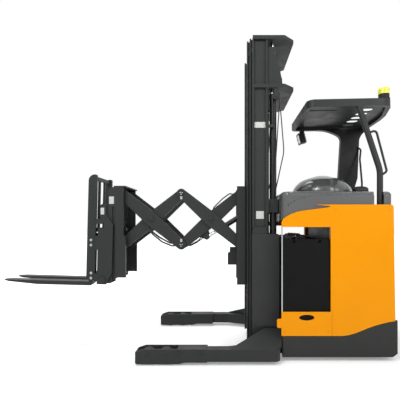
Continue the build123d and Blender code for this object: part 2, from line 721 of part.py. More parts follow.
def laid_cylinder(eye, y, radius, rod_radius, pin_radius, barrel_length, eye_radius):
    """Barrel of a cylinder lying forward from its eye, bored for the rod."""
    u, z = eye
    neck = eye_radius + 21
    axis = Pos(at(u), y, z) * Rot(0, 90, 0)
    barrel = axis * Pos(0, 0, (neck + barrel_length) / 2) * Cylinder(radius, barrel_length - neck)
    barrel += axis * Pos(0, 0, barrel_length - 9) * Cylinder(radius + 3, 18)
    barrel += rod_y(u, z, eye_radius, y - EYE_WIDTH / 2, y + EYE_WIDTH / 2)
    barrel += block(u, u + neck + 1, y - EYE_WIDTH / 2, y + EYE_WIDTH / 2, z - 15, z + 15)
    bore = axis * Pos(0, 0, neck + 6 + barrel_length / 2)
    barrel -= bore * Cylinder(rod_radius + ROD_CLEARANCE, barrel_length)
    return barrel - rod_y(u, z, pin_radius + PIN_CLEARANCE, y - EYE_WIDTH, y + EYE_WIDTH)


def laid_rod(eye, y, radius, pin_radius, rear_u, drift):
    """Rod of a cylinder, lying forward to its eye, whose bore leaves room for the eye's drift."""
    u, z = eye
    axis = Pos(at((rear_u + u) / 2), y, z) * Rot(0, 90, 0)
    eye_radius = pin_radius + drift + 9
    rod = axis * Cylinder(radius, u - rear_u)
    rod += rod_y(u, z, eye_radius, y - EYE_WIDTH / 2, y + EYE_WIDTH / 2)
    return rod - rod_y(u, z, pin_radius + drift, y - EYE_WIDTH, y + EYE_WIDTH)


reach_barrels = []
reach_rods = []
for side in (-1, 1):
    y = side * REACH_CYLINDER_Y
    barrel = laid_cylinder(REACH_EYE, y, REACH_BARREL_R, REACH_ROD_R, REACH_PIN_R, 365.0, 22.0)
    rod_eye = (REACH_EYE[0] + reach_length, REACH_EYE[1])
    rod = laid_rod(rod_eye, y, REACH_ROD_R, REACH_PIN_R, REACH_EYE[0] + 166, REACH_EYE_DRIFT)
    reach_barrels.append(turned(barrel, *REACH_EYE, -reach_angle))
    reach_rods.append(turned(rod, *REACH_EYE, -reach_angle))
nodes["reach_cylinders"] = group(*reach_barrels)
nodes["reach_rods"] = group(*reach_rods)

# Fork frame, hung on the front of the scissor
channel_rear = FRAME_PIVOT - FRONT_CHANNEL_DEPTH / 2
channel_front = channel_rear + FRONT_CHANNEL_DEPTH
frame_front = channel_front + 66
lug_plate = 22.0
FRAME_STEP_Z = 1066.0  # above the lower rollers' highest place the channel's rear flange ends
FRAME_NOSE_R = 54.0
half = channel(channel_rear, FRONT_CHANNEL_DEPTH, FORK_FRAME_BOTTOM_Z, FORK_FRAME_TOP_Z)
half += rod_y(*frame_pin, PIN_R, OUTER_ARM_Y, CHANNEL_OUT_Y - 2)
half += rod_y(*frame_pin, SLEEVE_R, outer_out + 2, CHANNEL_OUT_Y - 2)
step_front = channel_rear + 17
half -= block(channel_rear - 1, step_front, CHANNEL_Y - 1, CHANNEL_OUT_Y + 1, FRAME_STEP_Z, FORK_FRAME_TOP_Z + 1)
cheek = side_plate(
    [
        (channel_front - 2, 639),
        (channel_front - 2, FORK_FRAME_TOP_Z),
        (frame_front, FORK_FRAME_TOP_Z),
        (frame_front, 760),
        (TILT_HINGE + 24, TILT_HINGE_Z + 40),
        (TILT_HINGE + 24, TILT_HINGE_Z - 34),
        (frame_front - 20, 618),
    ],
    CHANNEL_OUT_Y - lug_plate,
    CHANNEL_OUT_Y,
)
nose = cheek.edges().filter_by(Axis.Y).sort_by_distance((at(frame_front), CHANNEL_OUT_Y, FORK_FRAME_TOP_Z))
half += fillet(nose[0], FRAME_NOSE_R)
half -= block(channel_front, channel_front + 27, CHANNEL_OUT_Y - 14, CHANNEL_OUT_Y + 1, 600, 1343)
half += rod_y(TILT_HINGE, TILT_HINGE_Z, 40, CHANNEL_OUT_Y - lug_plate, CHANNEL_OUT_Y)
hinge_plate_in = CHANNEL_OUT_Y + 6
hinge_plate_out = hinge_plate_in + 16
half += rod_y(TILT_HINGE, TILT_HINGE_Z, 20, CHANNEL_OUT_Y - 10, hinge_plate_out + 1)
half += rod_y(TILT_HINGE, TILT_HINGE_Z, 35, hinge_plate_out + 1, hinge_plate_out + 9)
half += block(
    channel_rear, frame_front - FRAME_NOSE_R, 0, CHANNEL_OUT_Y, FORK_FRAME_TOP_Z - 1, FORK_FRAME_TOP_Z + 12
)
half += block(frame_front - 14, frame_front, 0, CHANNEL_OUT_Y - 10, 1380, FORK_FRAME_TOP_Z - FRAME_NOSE_R)
half += block(channel_front - 2, channel_front + 12, 0, CHANNEL_OUT_Y - 10, 660, 740)
for z0 in (1028, 1165):
    half += block(channel_front + 2, channel_front + 22, 0, CHANNEL_OUT_Y - 10, z0, z0 + 40)
tilt_eye = (FRAME_PIVOT + TILT_EYE_AHEAD, TILT_EYE_Z)
half += side_plate(
    [
        (channel_front + 4, 1034),
        (channel_front - 8, 1034),
        (tilt_eye[0], TILT_EYE_Z - 20),
        (tilt_eye[0], TILT_EYE_Z + 20),
        (channel_front - 8, 1200),
        (channel_front + 4, 1200),
    ],
    EYE_WIDTH / 2 + 2,
    EYE_WIDTH / 2 + 12,
)
half += rod_y(*tilt_eye, 20, EYE_WIDTH / 2 + 2, EYE_WIDTH / 2 + 12)
half += rod_y(*tilt_eye, TILT_PIN_R, 0, EYE_WIDTH / 2 + 12)
nodes["fork_frame"] = both_sides(half)

# Fork carriage, drawn upright and tilted back about its hinge
tilt_lug = (TILT_HINGE + TILT_LUG_AHEAD, TILT_LUG_Z)
bar_rear = TILT_HINGE + FORK_FACE_AHEAD - 110
bar_front = TILT_HINGE + FORK_FACE_AHEAD - 78
fork_rear = TILT_HINGE + FORK_FACE_AHEAD - FORK_THICKNESS
UPPER_BAR = (935.0, 1065.0)
LOWER_BAR = (640.0, 712.0)
half = side_plate(
    [
        (TILT_HINGE - 91, 720),
        (TILT_HINGE - 40, 612),
        (bar_rear + 4, 612),
        (bar_rear + 4, 1141),
        (TILT_HINGE - 6, 1141),
        (TILT_HINGE - 6, 1190),
        (TILT_HINGE + 29, 1190),
        (TILT_HINGE + 29, 1356),
        (TILT_HINGE + 16, 1368),
        (TILT_HINGE - 13, 1368),
        (TILT_HINGE - 26, 1356),
        (TILT_HINGE - 26, 1264),
        (TILT_HINGE - 91, 1180),
    ],
    hinge_plate_in,
    hinge_plate_out,
)
half -= rod_y(TILT_HINGE, TILT_HINGE_Z, 20 + PIN_CLEARANCE, hinge_plate_in - 1, hinge_plate_out + 1)
for z0, z1 in (UPPER_BAR, LOWER_BAR):
    half += block(bar_rear, bar_front, 0, hinge_plate_out, z0, z1)
    half += block(bar_front - 1, fork_rear, 0, CHANNEL_OUT_Y - 28, z0, z1)
half += block(TILT_HINGE - 2, bar_front, 0, hinge_plate_out, 1179, 1226)
half += side_plate(
    [
        (tilt_lug[0] - 4, TILT_LUG_Z - 20),
        (bar_rear + 3, UPPER_BAR[0] + 20),
        (bar_front - 2, UPPER_BAR[0] + 20),
        (bar_front - 2, UPPER_BAR[1] + 12),
        (tilt_lug[0] + 4, TILT_LUG_Z + 20),
    ],
    EYE_WIDTH / 2 + 3,
    EYE_WIDTH / 2 + 13,
)
half += rod_y(*tilt_lug, 20, EYE_WIDTH / 2 + 3, EYE_WIDTH / 2 + 13)
half += rod_y(*tilt_lug, TILT_PIN_R, 0, EYE_WIDTH / 2 + 13)
fork_carriage = both_sides(half)
nodes["fork_carriage"] = turned(fork_carriage, TILT_HINGE, TILT_HINGE_Z, -TILT_BACK)

# Forks
load_face = TILT_HINGE + FORK_FACE_AHEAD
fork_tip = load_face + FORK_LENGTH
fork_bottom = FORK_TOP_Z - FORK_THICKNESS
fork_outline = [
    (fork_rear, fork_bottom + 20),
    (fork_rear, UPPER_BAR[1] + 2),
    (fork_rear - 26, UPPER_BAR[1] + 2),
    (fork_rear - 26, UPPER_BAR[1] + 24),
    (load_face - 16, UPPER_BAR[1] + 24),
    (load_face, UPPER_BAR[1] - 10),
    (load_face, FORK_TOP_Z),
    (fork_tip - 4, FORK_TOP_Z),
    (fork_tip, FORK_TOP_Z - 4),
    (fork_tip, FORK_TOP_Z - FORK_TIP_THICKNESS),
    (fork_tip - 330, fork_bottom),
    (fork_rear + 20, fork_bottom),
]
for side_name, side in (("left", 1), ("right", -1)):
    y0 = side * FORK_SPREAD / 2 - FORK_WIDTH / 2
    fork = side_plate(fork_outline, y0, y0 + FORK_WIDTH)
    tip_corner = 34.0
    for edge, inward in ((y0, 1), (y0 + FORK_WIDTH, -1)):
        fork -= floor_plate(
            [
                (fork_tip + 1, edge - inward),
                (fork_tip + 1, edge + inward * tip_corner),
                (fork_tip - 60, edge - inward),
            ],
            fork_bottom - 10,
            FORK_TOP_Z + 10,
        )
    nodes[f"fork_{side_name}"] = turned(fork, TILT_HINGE, TILT_HINGE_Z, -TILT_BACK)

# Load backrest
BACKREST_HALF = 232.0
BACKREST_TOP_Z = 1646.0
BACKREST_CORNER = 60.0
half = side_plate(
    [
        (bar_front, 650),
        (load_face, 650),
        (load_face, BACKREST_TOP_Z),
        (bar_front, BACKREST_TOP_Z),
    ],
    CHANNEL_OUT_Y - 22,
    BACKREST_HALF,
)
top_edges = half.edges().filter_by(Axis.Y).group_by(Axis.Z)[-1].sort_by(Axis.X)
half = fillet(top_edges[-1], BACKREST_CORNER)
top_edges = half.edges().filter_by(Axis.Y).sort_by_distance((at(bar_front), BACKREST_HALF, BACKREST_TOP_Z))
half = fillet(top_edges[0], 14)
bar_u = load_face - BACKREST_CORNER + 2
half += block(bar_u, bar_u + 24, 0, BACKREST_HALF - 2, BACKREST_TOP_Z - 50, BACKREST_TOP_Z - 14)
half += block(bar_u, bar_u + 20, 0, BACKREST_HALF - 2, 1100, 1140)
half += block(bar_u, bar_u + 20, 58, 86, 1100, BACKREST_TOP_Z - 22)
nodes["load_backrest"] = turned(both_sides(half), TILT_HINGE, TILT_HINGE_Z, -TILT_BACK)

# Tilt cylinder
tilt_back = radians(TILT_BACK)
lug_run, lug_rise = TILT_LUG_AHEAD, TILT_LUG_Z - TILT_HINGE_Z
lug_now = (
    TILT_HINGE + lug_run * cos(tilt_back) - lug_rise * sin(tilt_back),
    TILT_HINGE_Z + lug_run * sin(tilt_back) + lug_rise * cos(tilt_back),
)
tilt_run, tilt_rise = lug_now[0] - tilt_eye[0], lug_now[1] - tilt_eye[1]
tilt_length = hypot(tilt_run, tilt_rise)
tilt_angle = degrees(atan2(tilt_rise, tilt_run))
barrel = laid_cylinder(tilt_eye, 0, TILT_BARREL_R, TILT_ROD_R, TILT_PIN_R, 112.0, 20.0)
rod = laid_rod((tilt_eye[0] + tilt_length, TILT_EYE_Z), 0, TILT_ROD_R, TILT_PIN_R, tilt_eye[0] + 74, 1.6)
nodes["tilt_cylinder"] = turned(barrel, *tilt_eye, -tilt_angle)
nodes["tilt_rod"] = turned(rod, *tilt_eye, -tilt_angle)


# Chassis: the member under the mast, the skirts round the body and the plates that carry the wheels
SKIRT_TOP_Z = PANEL_BOTTOM_Z + SKIRT_RISE


def skirt_curve():
    """Edge between skirt and side panel, from front to rear."""
    start = (at(WELL_FRONT - 36), 0, PANEL_BOTTOM_Z)
    middle = (at((WELL_FRONT + SKIRT_REAR) / 2 + 16), 0, PANEL_BOTTOM_Z + 0.43 * SKIRT_RISE)
    level = Line((at(SKIRT_FRONT), 0, PANEL_BOTTOM_Z), start)
    rise = Spline([start, middle, (at(SKIRT_REAR), 0, SKIRT_TOP_Z)], tangents=[(-1, 0, 0), (-1, 0, 0.12)])
    return level, rise


level, rise = skirt_curve()
skirt_wire = Wire(
    [
        level,
        rise,
        Line((at(SKIRT_REAR), 0, SKIRT_TOP_Z), (at(SKIRT_REAR), 0, SKIRT_BOTTOM_Z + 30)),
        Line((at(SKIRT_REAR), 0, SKIRT_BOTTOM_Z + 30), (at(SKIRT_REAR + 40), 0, SKIRT_BOTTOM_Z)),
        Line((at(SKIRT_REAR + 40), 0, SKIRT_BOTTOM_Z), (at(SKIRT_FRONT), 0, SKIRT_BOTTOM_Z)),
        Line((at(SKIRT_FRONT), 0, SKIRT_BOTTOM_Z), (at(SKIRT_FRONT), 0, PANEL_BOTTOM_Z)),
    ]
)
skirt_face = make_face(skirt_wire)
side_skirt = extrude(skirt_face, amount=SKIRT_DEPTH, dir=(0, 1, 0)).moved(Location((0, skirt_in, 0)))
cross = floor_plate(
    [
        (0, LEG_ROOT_Y),
        (0, OUTER_RAIL_Y - 4),
        (-RAIL_DEPTH - 14, OUTER_RAIL_Y - 4),
        (-RAIL_DEPTH - 14, -1),
        (SKIRT_FRONT - 20, -1),
        (SKIRT_FRONT - 20, LEG_ROOT_Y),
    ],
    LEG_BOTTOM_Z,
    MAST_BOTTOM_Z,
)
half = side_skirt + cross
half += block(SKIRT_FRONT - 4, SKIRT_FRONT - 20, 0, skirt_in + 1, MAST_BOTTOM_Z - 1, 262)
half += block(SKIRT_FRONT - 5, WELL_FRONT, 0, skirt_in + 1, 210, BATTERY_TOP_Z - BATTERY_HEIGHT)
half += block(SKIRT_FRONT - 5, WELL_FRONT, 0, skirt_in + 1, SKIRT_BOTTOM_Z, SKIRT_BOTTOM_Z + 16)
chassis = both_sides(half)
drive_u, drive_y = DRIVE_AT
caster_u, caster_y = CASTER_AT
rear_in = SKIRT_REAR + 16
chassis += block(SKIRT_REAR, rear_in, -skirt_in - 1, SPLIT_Y, SKIRT_BOTTOM_Z + 30, SKIRT_TOP_Z)
chassis += block(SKIRT_REAR, rear_in, SPLIT_Y - 1, skirt_in + 1, SKIRT_BOTTOM_Z + 30, DECK_Z)
chassis += block(WELL_FRONT + 1, SKIRT_REAR + 1, SPLIT_Y - 10, skirt_in + 1, DECK_Z - 14, DECK_Z)
chassis += block(WELL_FRONT + 1, SKIRT_REAR + 1, SPLIT_Y - 10, SPLIT_Y, SKIRT_BOTTOM_Z, BEARING_Z + 1)
chassis += block(WELL_FRONT, WELL_FRONT + 20, -skirt_in - 1, skirt_in + 1, SKIRT_BOTTOM_Z, BEARING_Z + 1)
bearing = block(WELL_FRONT + 1, rear_in - 1, -skirt_in - 1, SPLIT_Y, BEARING_Z, BEARING_Z + 20)
bearing -= rod_z(drive_u, drive_y, DRIVE_FLANGE_R + 0.4, BEARING_Z - 1, BEARING_Z + 21)
chassis += bearing
chassis += block(WELL_FRONT + 1, rear_in - 1, -skirt_in - 1, 8 - skirt_in, 200, BEARING_Z + 1)
nodes["chassis"] = chassis

# Side panels
def panel_top():
    """Upper edge of a side panel, from front to rear, as stations and heights."""
    return [
        (BODY_FRONT, PANEL_TOP_Z - 191),
        (BODY_FRONT - 15, PANEL_TOP_Z - 123),
        (BODY_FRONT - 62, PANEL_TOP_Z - 92),
        (BODY_FRONT - 211, PANEL_TOP_Z - 49),
        (BODY_FRONT - 396, PANEL_TOP_Z - 11),
        (BODY_FRONT - 540, PANEL_TOP_Z),
    ]


def panel(y0, y1):
    """Side panel with its battery opening, open at the front."""
    crown = [(at(u), 0, z) for u, z in panel_top()]
    top = Spline(crown, tangents=[(0, 0, 1), (-1, 0, 0)])
    level, rise = skirt_curve()
    wire = Wire(
        [
            Line((at(BODY_FRONT), 0, PANEL_BOTTOM_Z), crown[0]),
            top,
            Line(crown[-1], (at(SKIRT_REAR), 0, PANEL_TOP_Z)),
            Line((at(SKIRT_REAR), 0, PANEL_TOP_Z), (at(SKIRT_REAR), 0, SKIRT_TOP_Z)),
            rise,
            Line(rise @ 0, (at(BODY_FRONT), 0, PANEL_BOTTOM_Z)),
        ]
    )
    sheet = extrude(make_face(wire), amount=y1 - y0, dir=(0, 1, 0)).moved(Location((0, y0, 0)))
    sheet -= side_plate(
        [
            (BODY_REAR, SKIRT_TOP_Z - 60),
            (BODY_REAR + 16, PANEL_TOP_Z - 20),
            (BODY_REAR + 30, PANEL_TOP_Z + 1),
            (SKIRT_REAR - 1, PANEL_TOP_Z + 1),
            (SKIRT_REAR - 1, SKIRT_TOP_Z - 60),
        ],
        y0 - 1,
        y1 + 1,
    )
    sheet -= block(BATTERY_REAR, BODY_FRONT + 1, y0 - 1, y1 + 1, BATTERY_SILL_Z, BATTERY_OPEN_Z)
    grip = Pos(at((BODY_FRONT + BATTERY_REAR) / 2 - 5), y1 + 1, BATTERY_SILL_Z - 49) * Rot(90, 0, 0)
    sheet -= grip * extrude(Ellipse(66, 25), amount=y1 - y0 + 2)
    seam_u = BATTERY_REAR - 8
    sheet -= block(seam_u - 3, seam_u, y1 - 4, y1 + 1, PANEL_BOTTOM_Z - 1, BATTERY_SILL_Z + 1)
    hook = block(BODY_FRONT - 1, BODY_FRONT + 38, y0, y1, PANEL_BOTTOM_Z + 68, PANEL_BOTTOM_Z + 145)
    tip = hook.edges().filter_by(Axis.Y).group_by(Axis.X)[-1]
    return sheet + fillet(tip, 14)


panel_left = panel(panel_in, panel_out)
post_top = PANEL_TOP_Z - 16
panel_left += block(BATTERY_REAR - 40, BATTERY_REAR - 2, panel_in - 40, panel_in + 1, BEARING_Z + 2, post_top)
panel_left += block(
    BATTERY_REAR, SKIRT_FRONT - 1, skirt_in + 5, panel_in + 1, PANEL_BOTTOM_Z + 2, PANEL_BOTTOM_Z + 17
)
nodes["side_panel_left"] = panel_left
nodes["side_panel_right"] = mirror(panel_left, about=Plane.XZ)

# Upright stays that close the front of the battery openings
stay = block(BODY_FRONT - 10, BODY_FRONT, panel_in + 1, panel_out - 1, BATTERY_SILL_Z, BATTERY_OPEN_Z)
nodes["battery_stays"] = group(stay, mirror(stay, about=Plane.XZ))

# Walls inside the body: the bulkhead behind the battery, the wall beside the operator and the rear door
wall_top = PANEL_TOP_Z - 11
walls = block(BATTERY_REAR - 41, BATTERY_REAR - 29, 41 - panel_in, panel_in - 41, BEARING_Z + 21, wall_top)
walls += block(BATTERY_REAR - 30, BODY_REAR + 14, SPLIT_Y - 10, SPLIT_Y, BEARING_Z + 21, wall_top)
walls += block(WELL_FRONT, BODY_REAR + 2, WELL_Y, WELL_Y + 8, DECK_Z, wall_top)
nodes["inner_walls"] = walls
nodes["rear_door"] = block(
    BODY_REAR + 2, BODY_REAR + 14, 2 - panel_in, SPLIT_Y - 10, BEARING_Z + 21, wall_top
)

# Battery in its open bay
battery_half = panel_in - 8
battery_front = SKIRT_FRONT - 4
battery_rear = BATTERY_REAR + 6
battery_bottom = BATTERY_TOP_Z - BATTERY_HEIGHT
battery = block(battery_front, battery_rear, -battery_half, battery_half, battery_bottom, BATTERY_TOP_Z)
battery -= block(
    battery_front - 8,
    battery_rear + 8,
    8 - battery_half,
    battery_half - 8,
    BATTERY_TOP_Z - 40,
    BATTERY_TOP_Z + 1,
)
for hole_u in (battery_front - 94, battery_rear + 88):
    battery -= rod_y(hole_u, BATTERY_TOP_Z - 20, 14, -battery_half - 1, battery_half + 1)
CELL_ROWS = 3
CELL_COLUMNS = 8
CELL_GAP = 6.0
row_pitch = (battery_front - battery_rear - 28) / CELL_ROWS
column_pitch = (2 * battery_half - 28) / CELL_COLUMNS
cells = []
for row in range(CELL_ROWS):
    for column in range(CELL_COLUMNS):
        u0 = battery_front - 14 - row * row_pitch
        y0 = 14 - battery_half + column * column_pitch
        cell_top = BATTERY_TOP_Z - 12
        u1, y1 = u0 - row_pitch + CELL_GAP, y0 + column_pitch - CELL_GAP
        cells.append(block(u0, u1, y0, y1, BATTERY_TOP_Z - 41, cell_top))
        cells.append(rod_z((u0 + u1) / 2, (y0 + y1) / 2, 16, cell_top - 1, cell_top + 7))
nodes["battery"] = battery + cells

# Cover over the body, open over the operator
COVER_CORNER = 80.0  # of its front corners, seen from above
COVER_EDGE = 34.0  # rounding of its upper edges
COVER_STEP = 10.0  # inward step above the crease
COVER_FRONT = BODY_FRONT - 4
COVER_REAR = BODY_REAR + 24
WELL_TOP_FRONT = WELL_FRONT - 60


def cover_shell(inset, bottom_z, top_z, edge):
    """Rounded block of the cover's plan, drawn in by inset."""
    half = panel_in - inset
    plan = floor_plate(
        [
            (COVER_FRONT - inset, -half),
            (COVER_FRONT - inset, half),
            (COVER_REAR + inset, half),
            (COVER_REAR + inset, -half),
        ],
        bottom_z,
        top_z,
    )
    upright = plan.edges().filter_by(Axis.Z).sort_by(Axis.X)
    plan = fillet(upright[2:], COVER_CORNER - inset)
    plan = fillet(plan.edges().filter_by(Axis.Z).group_by(Axis.X)[0], 26 - inset / 2)
    return fillet(plan.faces().sort_by(Axis.Z)[-1].edges(), edge)


cover = cover_shell(0, PANEL_TOP_Z - 210, COVER_TOP_Z, COVER_EDGE)
cover -= cover_shell(COVER_WALL, PANEL_TOP_Z - 220, COVER_TOP_Z - COVER_WALL, COVER_EDGE - COVER_WALL)
rim_top = COVER_TOP_Z - COVER_WALL / 2
rim = block(
    WELL_TOP_FRONT + COVER_WALL,
    COVER_REAR + 2,
    SPLIT_Y - COVER_WALL,
    WELL_Y + COVER_WALL,
    PANEL_TOP_Z,
    rim_top,
)
cover += rim
cover -= block(WELL_TOP_FRONT, SKIRT_REAR - 60, SPLIT_Y, WELL_Y, PANEL_TOP_Z - 230, COVER_TOP_Z + 1)
under = [(at(u), 0, z) for u, z in panel_top()]
below_wire = Wire(
    [
        Line((at(BODY_FRONT + 20), 0, under[0][2]), under[0]),
        Spline(under, tangents=[(0, 0, 1), (-1, 0, 0)]),
        Line(under[-1], (at(SKIRT_REAR - 20), 0, PANEL_TOP_Z)),
        Line((at(SKIRT_REAR - 20), 0, PANEL_TOP_Z), (at(SKIRT_REAR - 20), 0, PANEL_TOP_Z - 300)),
        Line((at(SKIRT_REAR - 20), 0, PANEL_TOP_Z - 300), (at(BODY_FRONT + 20), 0, PANEL_TOP_Z - 300)),
        Line((at(BODY_FRONT + 20), 0, PANEL_TOP_Z - 300), (at(BODY_FRONT + 20), 0, under[0][2])),
    ]
)
cover -= extrude(make_face(below_wire), amount=BODY_WIDTH, dir=(0, 1, 0)).moved(Location((0, -panel_out, 0)))
crease = [
    (at(BODY_FRONT - 58), 0, COVER_TOP_Z - 140),
    (at(BODY_FRONT - 88), 0, COVER_TOP_Z - 101),
    (at(BODY_FRONT - 150), 0, COVER_TOP_Z - 70),
    (at(BODY_FRONT - 240), 0, COVER_TOP_Z - 46),
    (at(BODY_FRONT - 400), 0, COVER_TOP_Z - 35),
]
above_wire = Wire(
    [
        Spline(crease, tangents=[(-0.5, 0, 1), (-1, 0, 0)]),
        Line(crease[-1], (at(SKIRT_REAR - 20), 0, COVER_TOP_Z - 35)),
        Line((at(SKIRT_REAR - 20), 0, COVER_TOP_Z - 35), (at(SKIRT_REAR - 20), 0, COVER_TOP_Z + 20)),
        Line((at(SKIRT_REAR - 20), 0, COVER_TOP_Z + 20), (crease[0][0], 0, COVER_TOP_Z + 20)),
        Line((crease[0][0], 0, COVER_TOP_Z + 20), crease[0]),
    ]
)
above = extrude(make_face(above_wire), amount=COVER_STEP + 20, dir=(0, 1, 0))
for y0 in (panel_in - COVER_STEP, -panel_in - 20):
    cover -= above.moved(Location((0, y0, 0)))
POST_R = 26.0
POST_Y = WELL_Y + 36
POST_U = SKIRT_REAR + 128
cover -= block(POST_U + 60, POST_U - 36, WELL_Y - 1, POST_Y + POST_R + 6, PANEL_TOP_Z - 30, COVER_TOP_Z + 1)
cover -= block(POST_U + 70, POST_U - 14, POST_Y, panel_out, PANEL_TOP_Z - 30, COVER_TOP_Z + 1)
nodes["cover"] = cover

# Domed hood on the cover
DOME_GAP = 2.0  # from the operator's place
DOME_RIGHT = 17.0 - panel_out
DOME_R = (SPLIT_Y - DOME_GAP - DOME_RIGHT) / 2
DOME_HEIGHT = 222.0
dome_u = WELL_FRONT - 81
dome_y = DOME_RIGHT + DOME_R
dome_foot = (at(dome_u) + DOME_R, dome_y, COVER_TOP_Z)
dome_peak = (at(dome_u), dome_y, COVER_TOP_Z + DOME_HEIGHT)
shoulders = [
    (at(dome_u) + share * DOME_R, dome_y, COVER_TOP_Z + rise * DOME_HEIGHT)
    for share, rise in ((0.987, 0.33), (0.86, 0.60), (0.58, 0.85), (0.3, 0.965))
]
dome_wire = Wire(
    [
        Line((at(dome_u), dome_y, COVER_TOP_Z), dome_foot),
        Spline([dome_foot, *shoulders, dome_peak], tangents=[(0, 0, 1), (-1, 0, 0)]),
        Line(dome_peak, (at(dome_u), dome_y, COVER_TOP_Z)),
    ]
)
dome = revolve(make_face(dome_wire), Axis((at(dome_u), dome_y, 0), (0, 0, 1)), 360)

# Overhead guard, drawn level and tilted up towards the rear
guard_top = GUARD_BOTTOM_Z + GUARD_RIM_HEIGHT


def guard_under(u):
    """Height of the guard's underside at a station."""
    return GUARD_BOTTOM_Z + (GUARD_FRONT - u) * tan(radians(GUARD_SLOPE))


def guard_outline(inset, z0, z1):
    """Outline of the guard from above."""
    plate = floor_plate(
        [
            (GUARD_FRONT - inset, GUARD_HALF_WIDTH - inset),
            (SKIRT_REAR + inset, GUARD_HALF_WIDTH - inset),
            (GUARD_REAR + 16 + inset, 100),
            (GUARD_REAR + 2 + inset, -60),
            (GUARD_REAR + 2 + inset, inset - GUARD_HALF_WIDTH),
            (GUARD_FRONT - inset, inset - GUARD_HALF_WIDTH),
        ],
        z0,
        z1,
    )
    corners = plate.edges().filter_by(Axis.Z).sort_by(Axis.X)
    left_rear = [e for e in corners if e.center().Y > 200 and e.center().X < at(GUARD_REAR + 240)]
    plate = fillet(left_rear, 110 - inset)
    front = [e for e in plate.edges().filter_by(Axis.Z) if e.center().X > at(GUARD_FRONT - 110)]
    return fillet(front, 70 - inset)


guard = guard_outline(0, GUARD_BOTTOM_Z, guard_top) - guard_outline(38, GUARD_BOTTOM_Z - 1, guard_top + 1)
roof = guard_outline(30, guard_top - 34, guard_top - 26)
ROOF_HOLES = 6
hole_length, hole_corner = 116.0, 40.0
hole_u = GUARD_REAR + 240
hole_pitch = (2 * GUARD_HALF_WIDTH - 88) / ROOF_HOLES
for n in range(ROOF_HOLES):
    y = GUARD_HALF_WIDTH - 44 - (n + 0.5) * hole_pitch
    hole = floor_plate(
        [
            (hole_u + hole_length / 2, y - 0.35 * hole_pitch),
            (hole_u + hole_length / 2, y + 0.35 * hole_pitch),
            (hole_u - hole_length / 2, y + 0.35 * hole_pitch),
            (hole_u - hole_length / 2, y - 0.35 * hole_pitch),
        ],
        guard_top - 40,
        guard_top - 20,
    )
    roof -= fillet(hole.edges().filter_by(Axis.Z), hole_corner)
window = Pos(at(GUARD_FRONT - 172), GUARD_HALF_WIDTH / 2, guard_top - 38) * extrude(
    Ellipse(152, 480), amount=5
)
roof += window & guard_outline(37, guard_top - 39, guard_top - 33) & block(
    -200, -1200, -900, GUARD_HALF_WIDTH / 2, 2000, 2400
)
guard += roof
nodes["overhead_guard"] = turned(guard, GUARD_FRONT, GUARD_BOTTOM_Z, GUARD_SLOPE)


def tube(points, radius, bend):
    """Round tube along straight runs through points given as (u, y, z), with bends between them."""
    path = FilletPolyline([(at(u), y, z) for u, y, z in points], radius=bend)
    section = Plane(origin=path @ 0, z_dir=path % 0) * Circle(radius)
    return sweep(section, path)


def under_guard(shape):
    """The shape cut off at the guard's underside."""
    above = turned(
        block(GUARD_FRONT + 60, GUARD_REAR - 60, -panel_out, panel_out, GUARD_BOTTOM_Z, guard_top + 200),
        GUARD_FRONT,
        GUARD_BOTTOM_Z,
        GUARD_SLOPE,
    )
    return shape - above


POST_BEND_Z = 1651.0
POST_LEAN = 167.0  # forward, between the bend and the guard
post_head = (POST_U + POST_LEAN, GUARD_HALF_WIDTH - 24, GUARD_BOTTOM_Z + 42)
post = under_guard(tube([(POST_U, POST_Y, DECK_Z), (POST_U, POST_Y, POST_BEND_Z), post_head], POST_R, 300))
nodes["guard_post_left"] = post


def on_post(z):
    """Station and side of the post's axis at a height above its bend."""
    share = (z - POST_BEND_Z) / (post_head[2] - POST_BEND_Z)
    return POST_U + share * POST_LEAN, POST_Y + share * (post_head[1] - POST_Y), z


HANDLE_R = 10.0
HANDLE_REACH = 61.0  # of the grab handle behind the post
handle = tube(
    [
        on_post(1985),
        (on_post(2008)[0] - HANDLE_REACH - 20, on_post(2008)[1] + 2, 2008),
        (POST_U - HANDLE_REACH, POST_Y, 1640),
        (POST_U, POST_Y, 1598),
    ],
    HANDLE_R,
    26,
)
nodes["grab_handle_left"] = handle - post

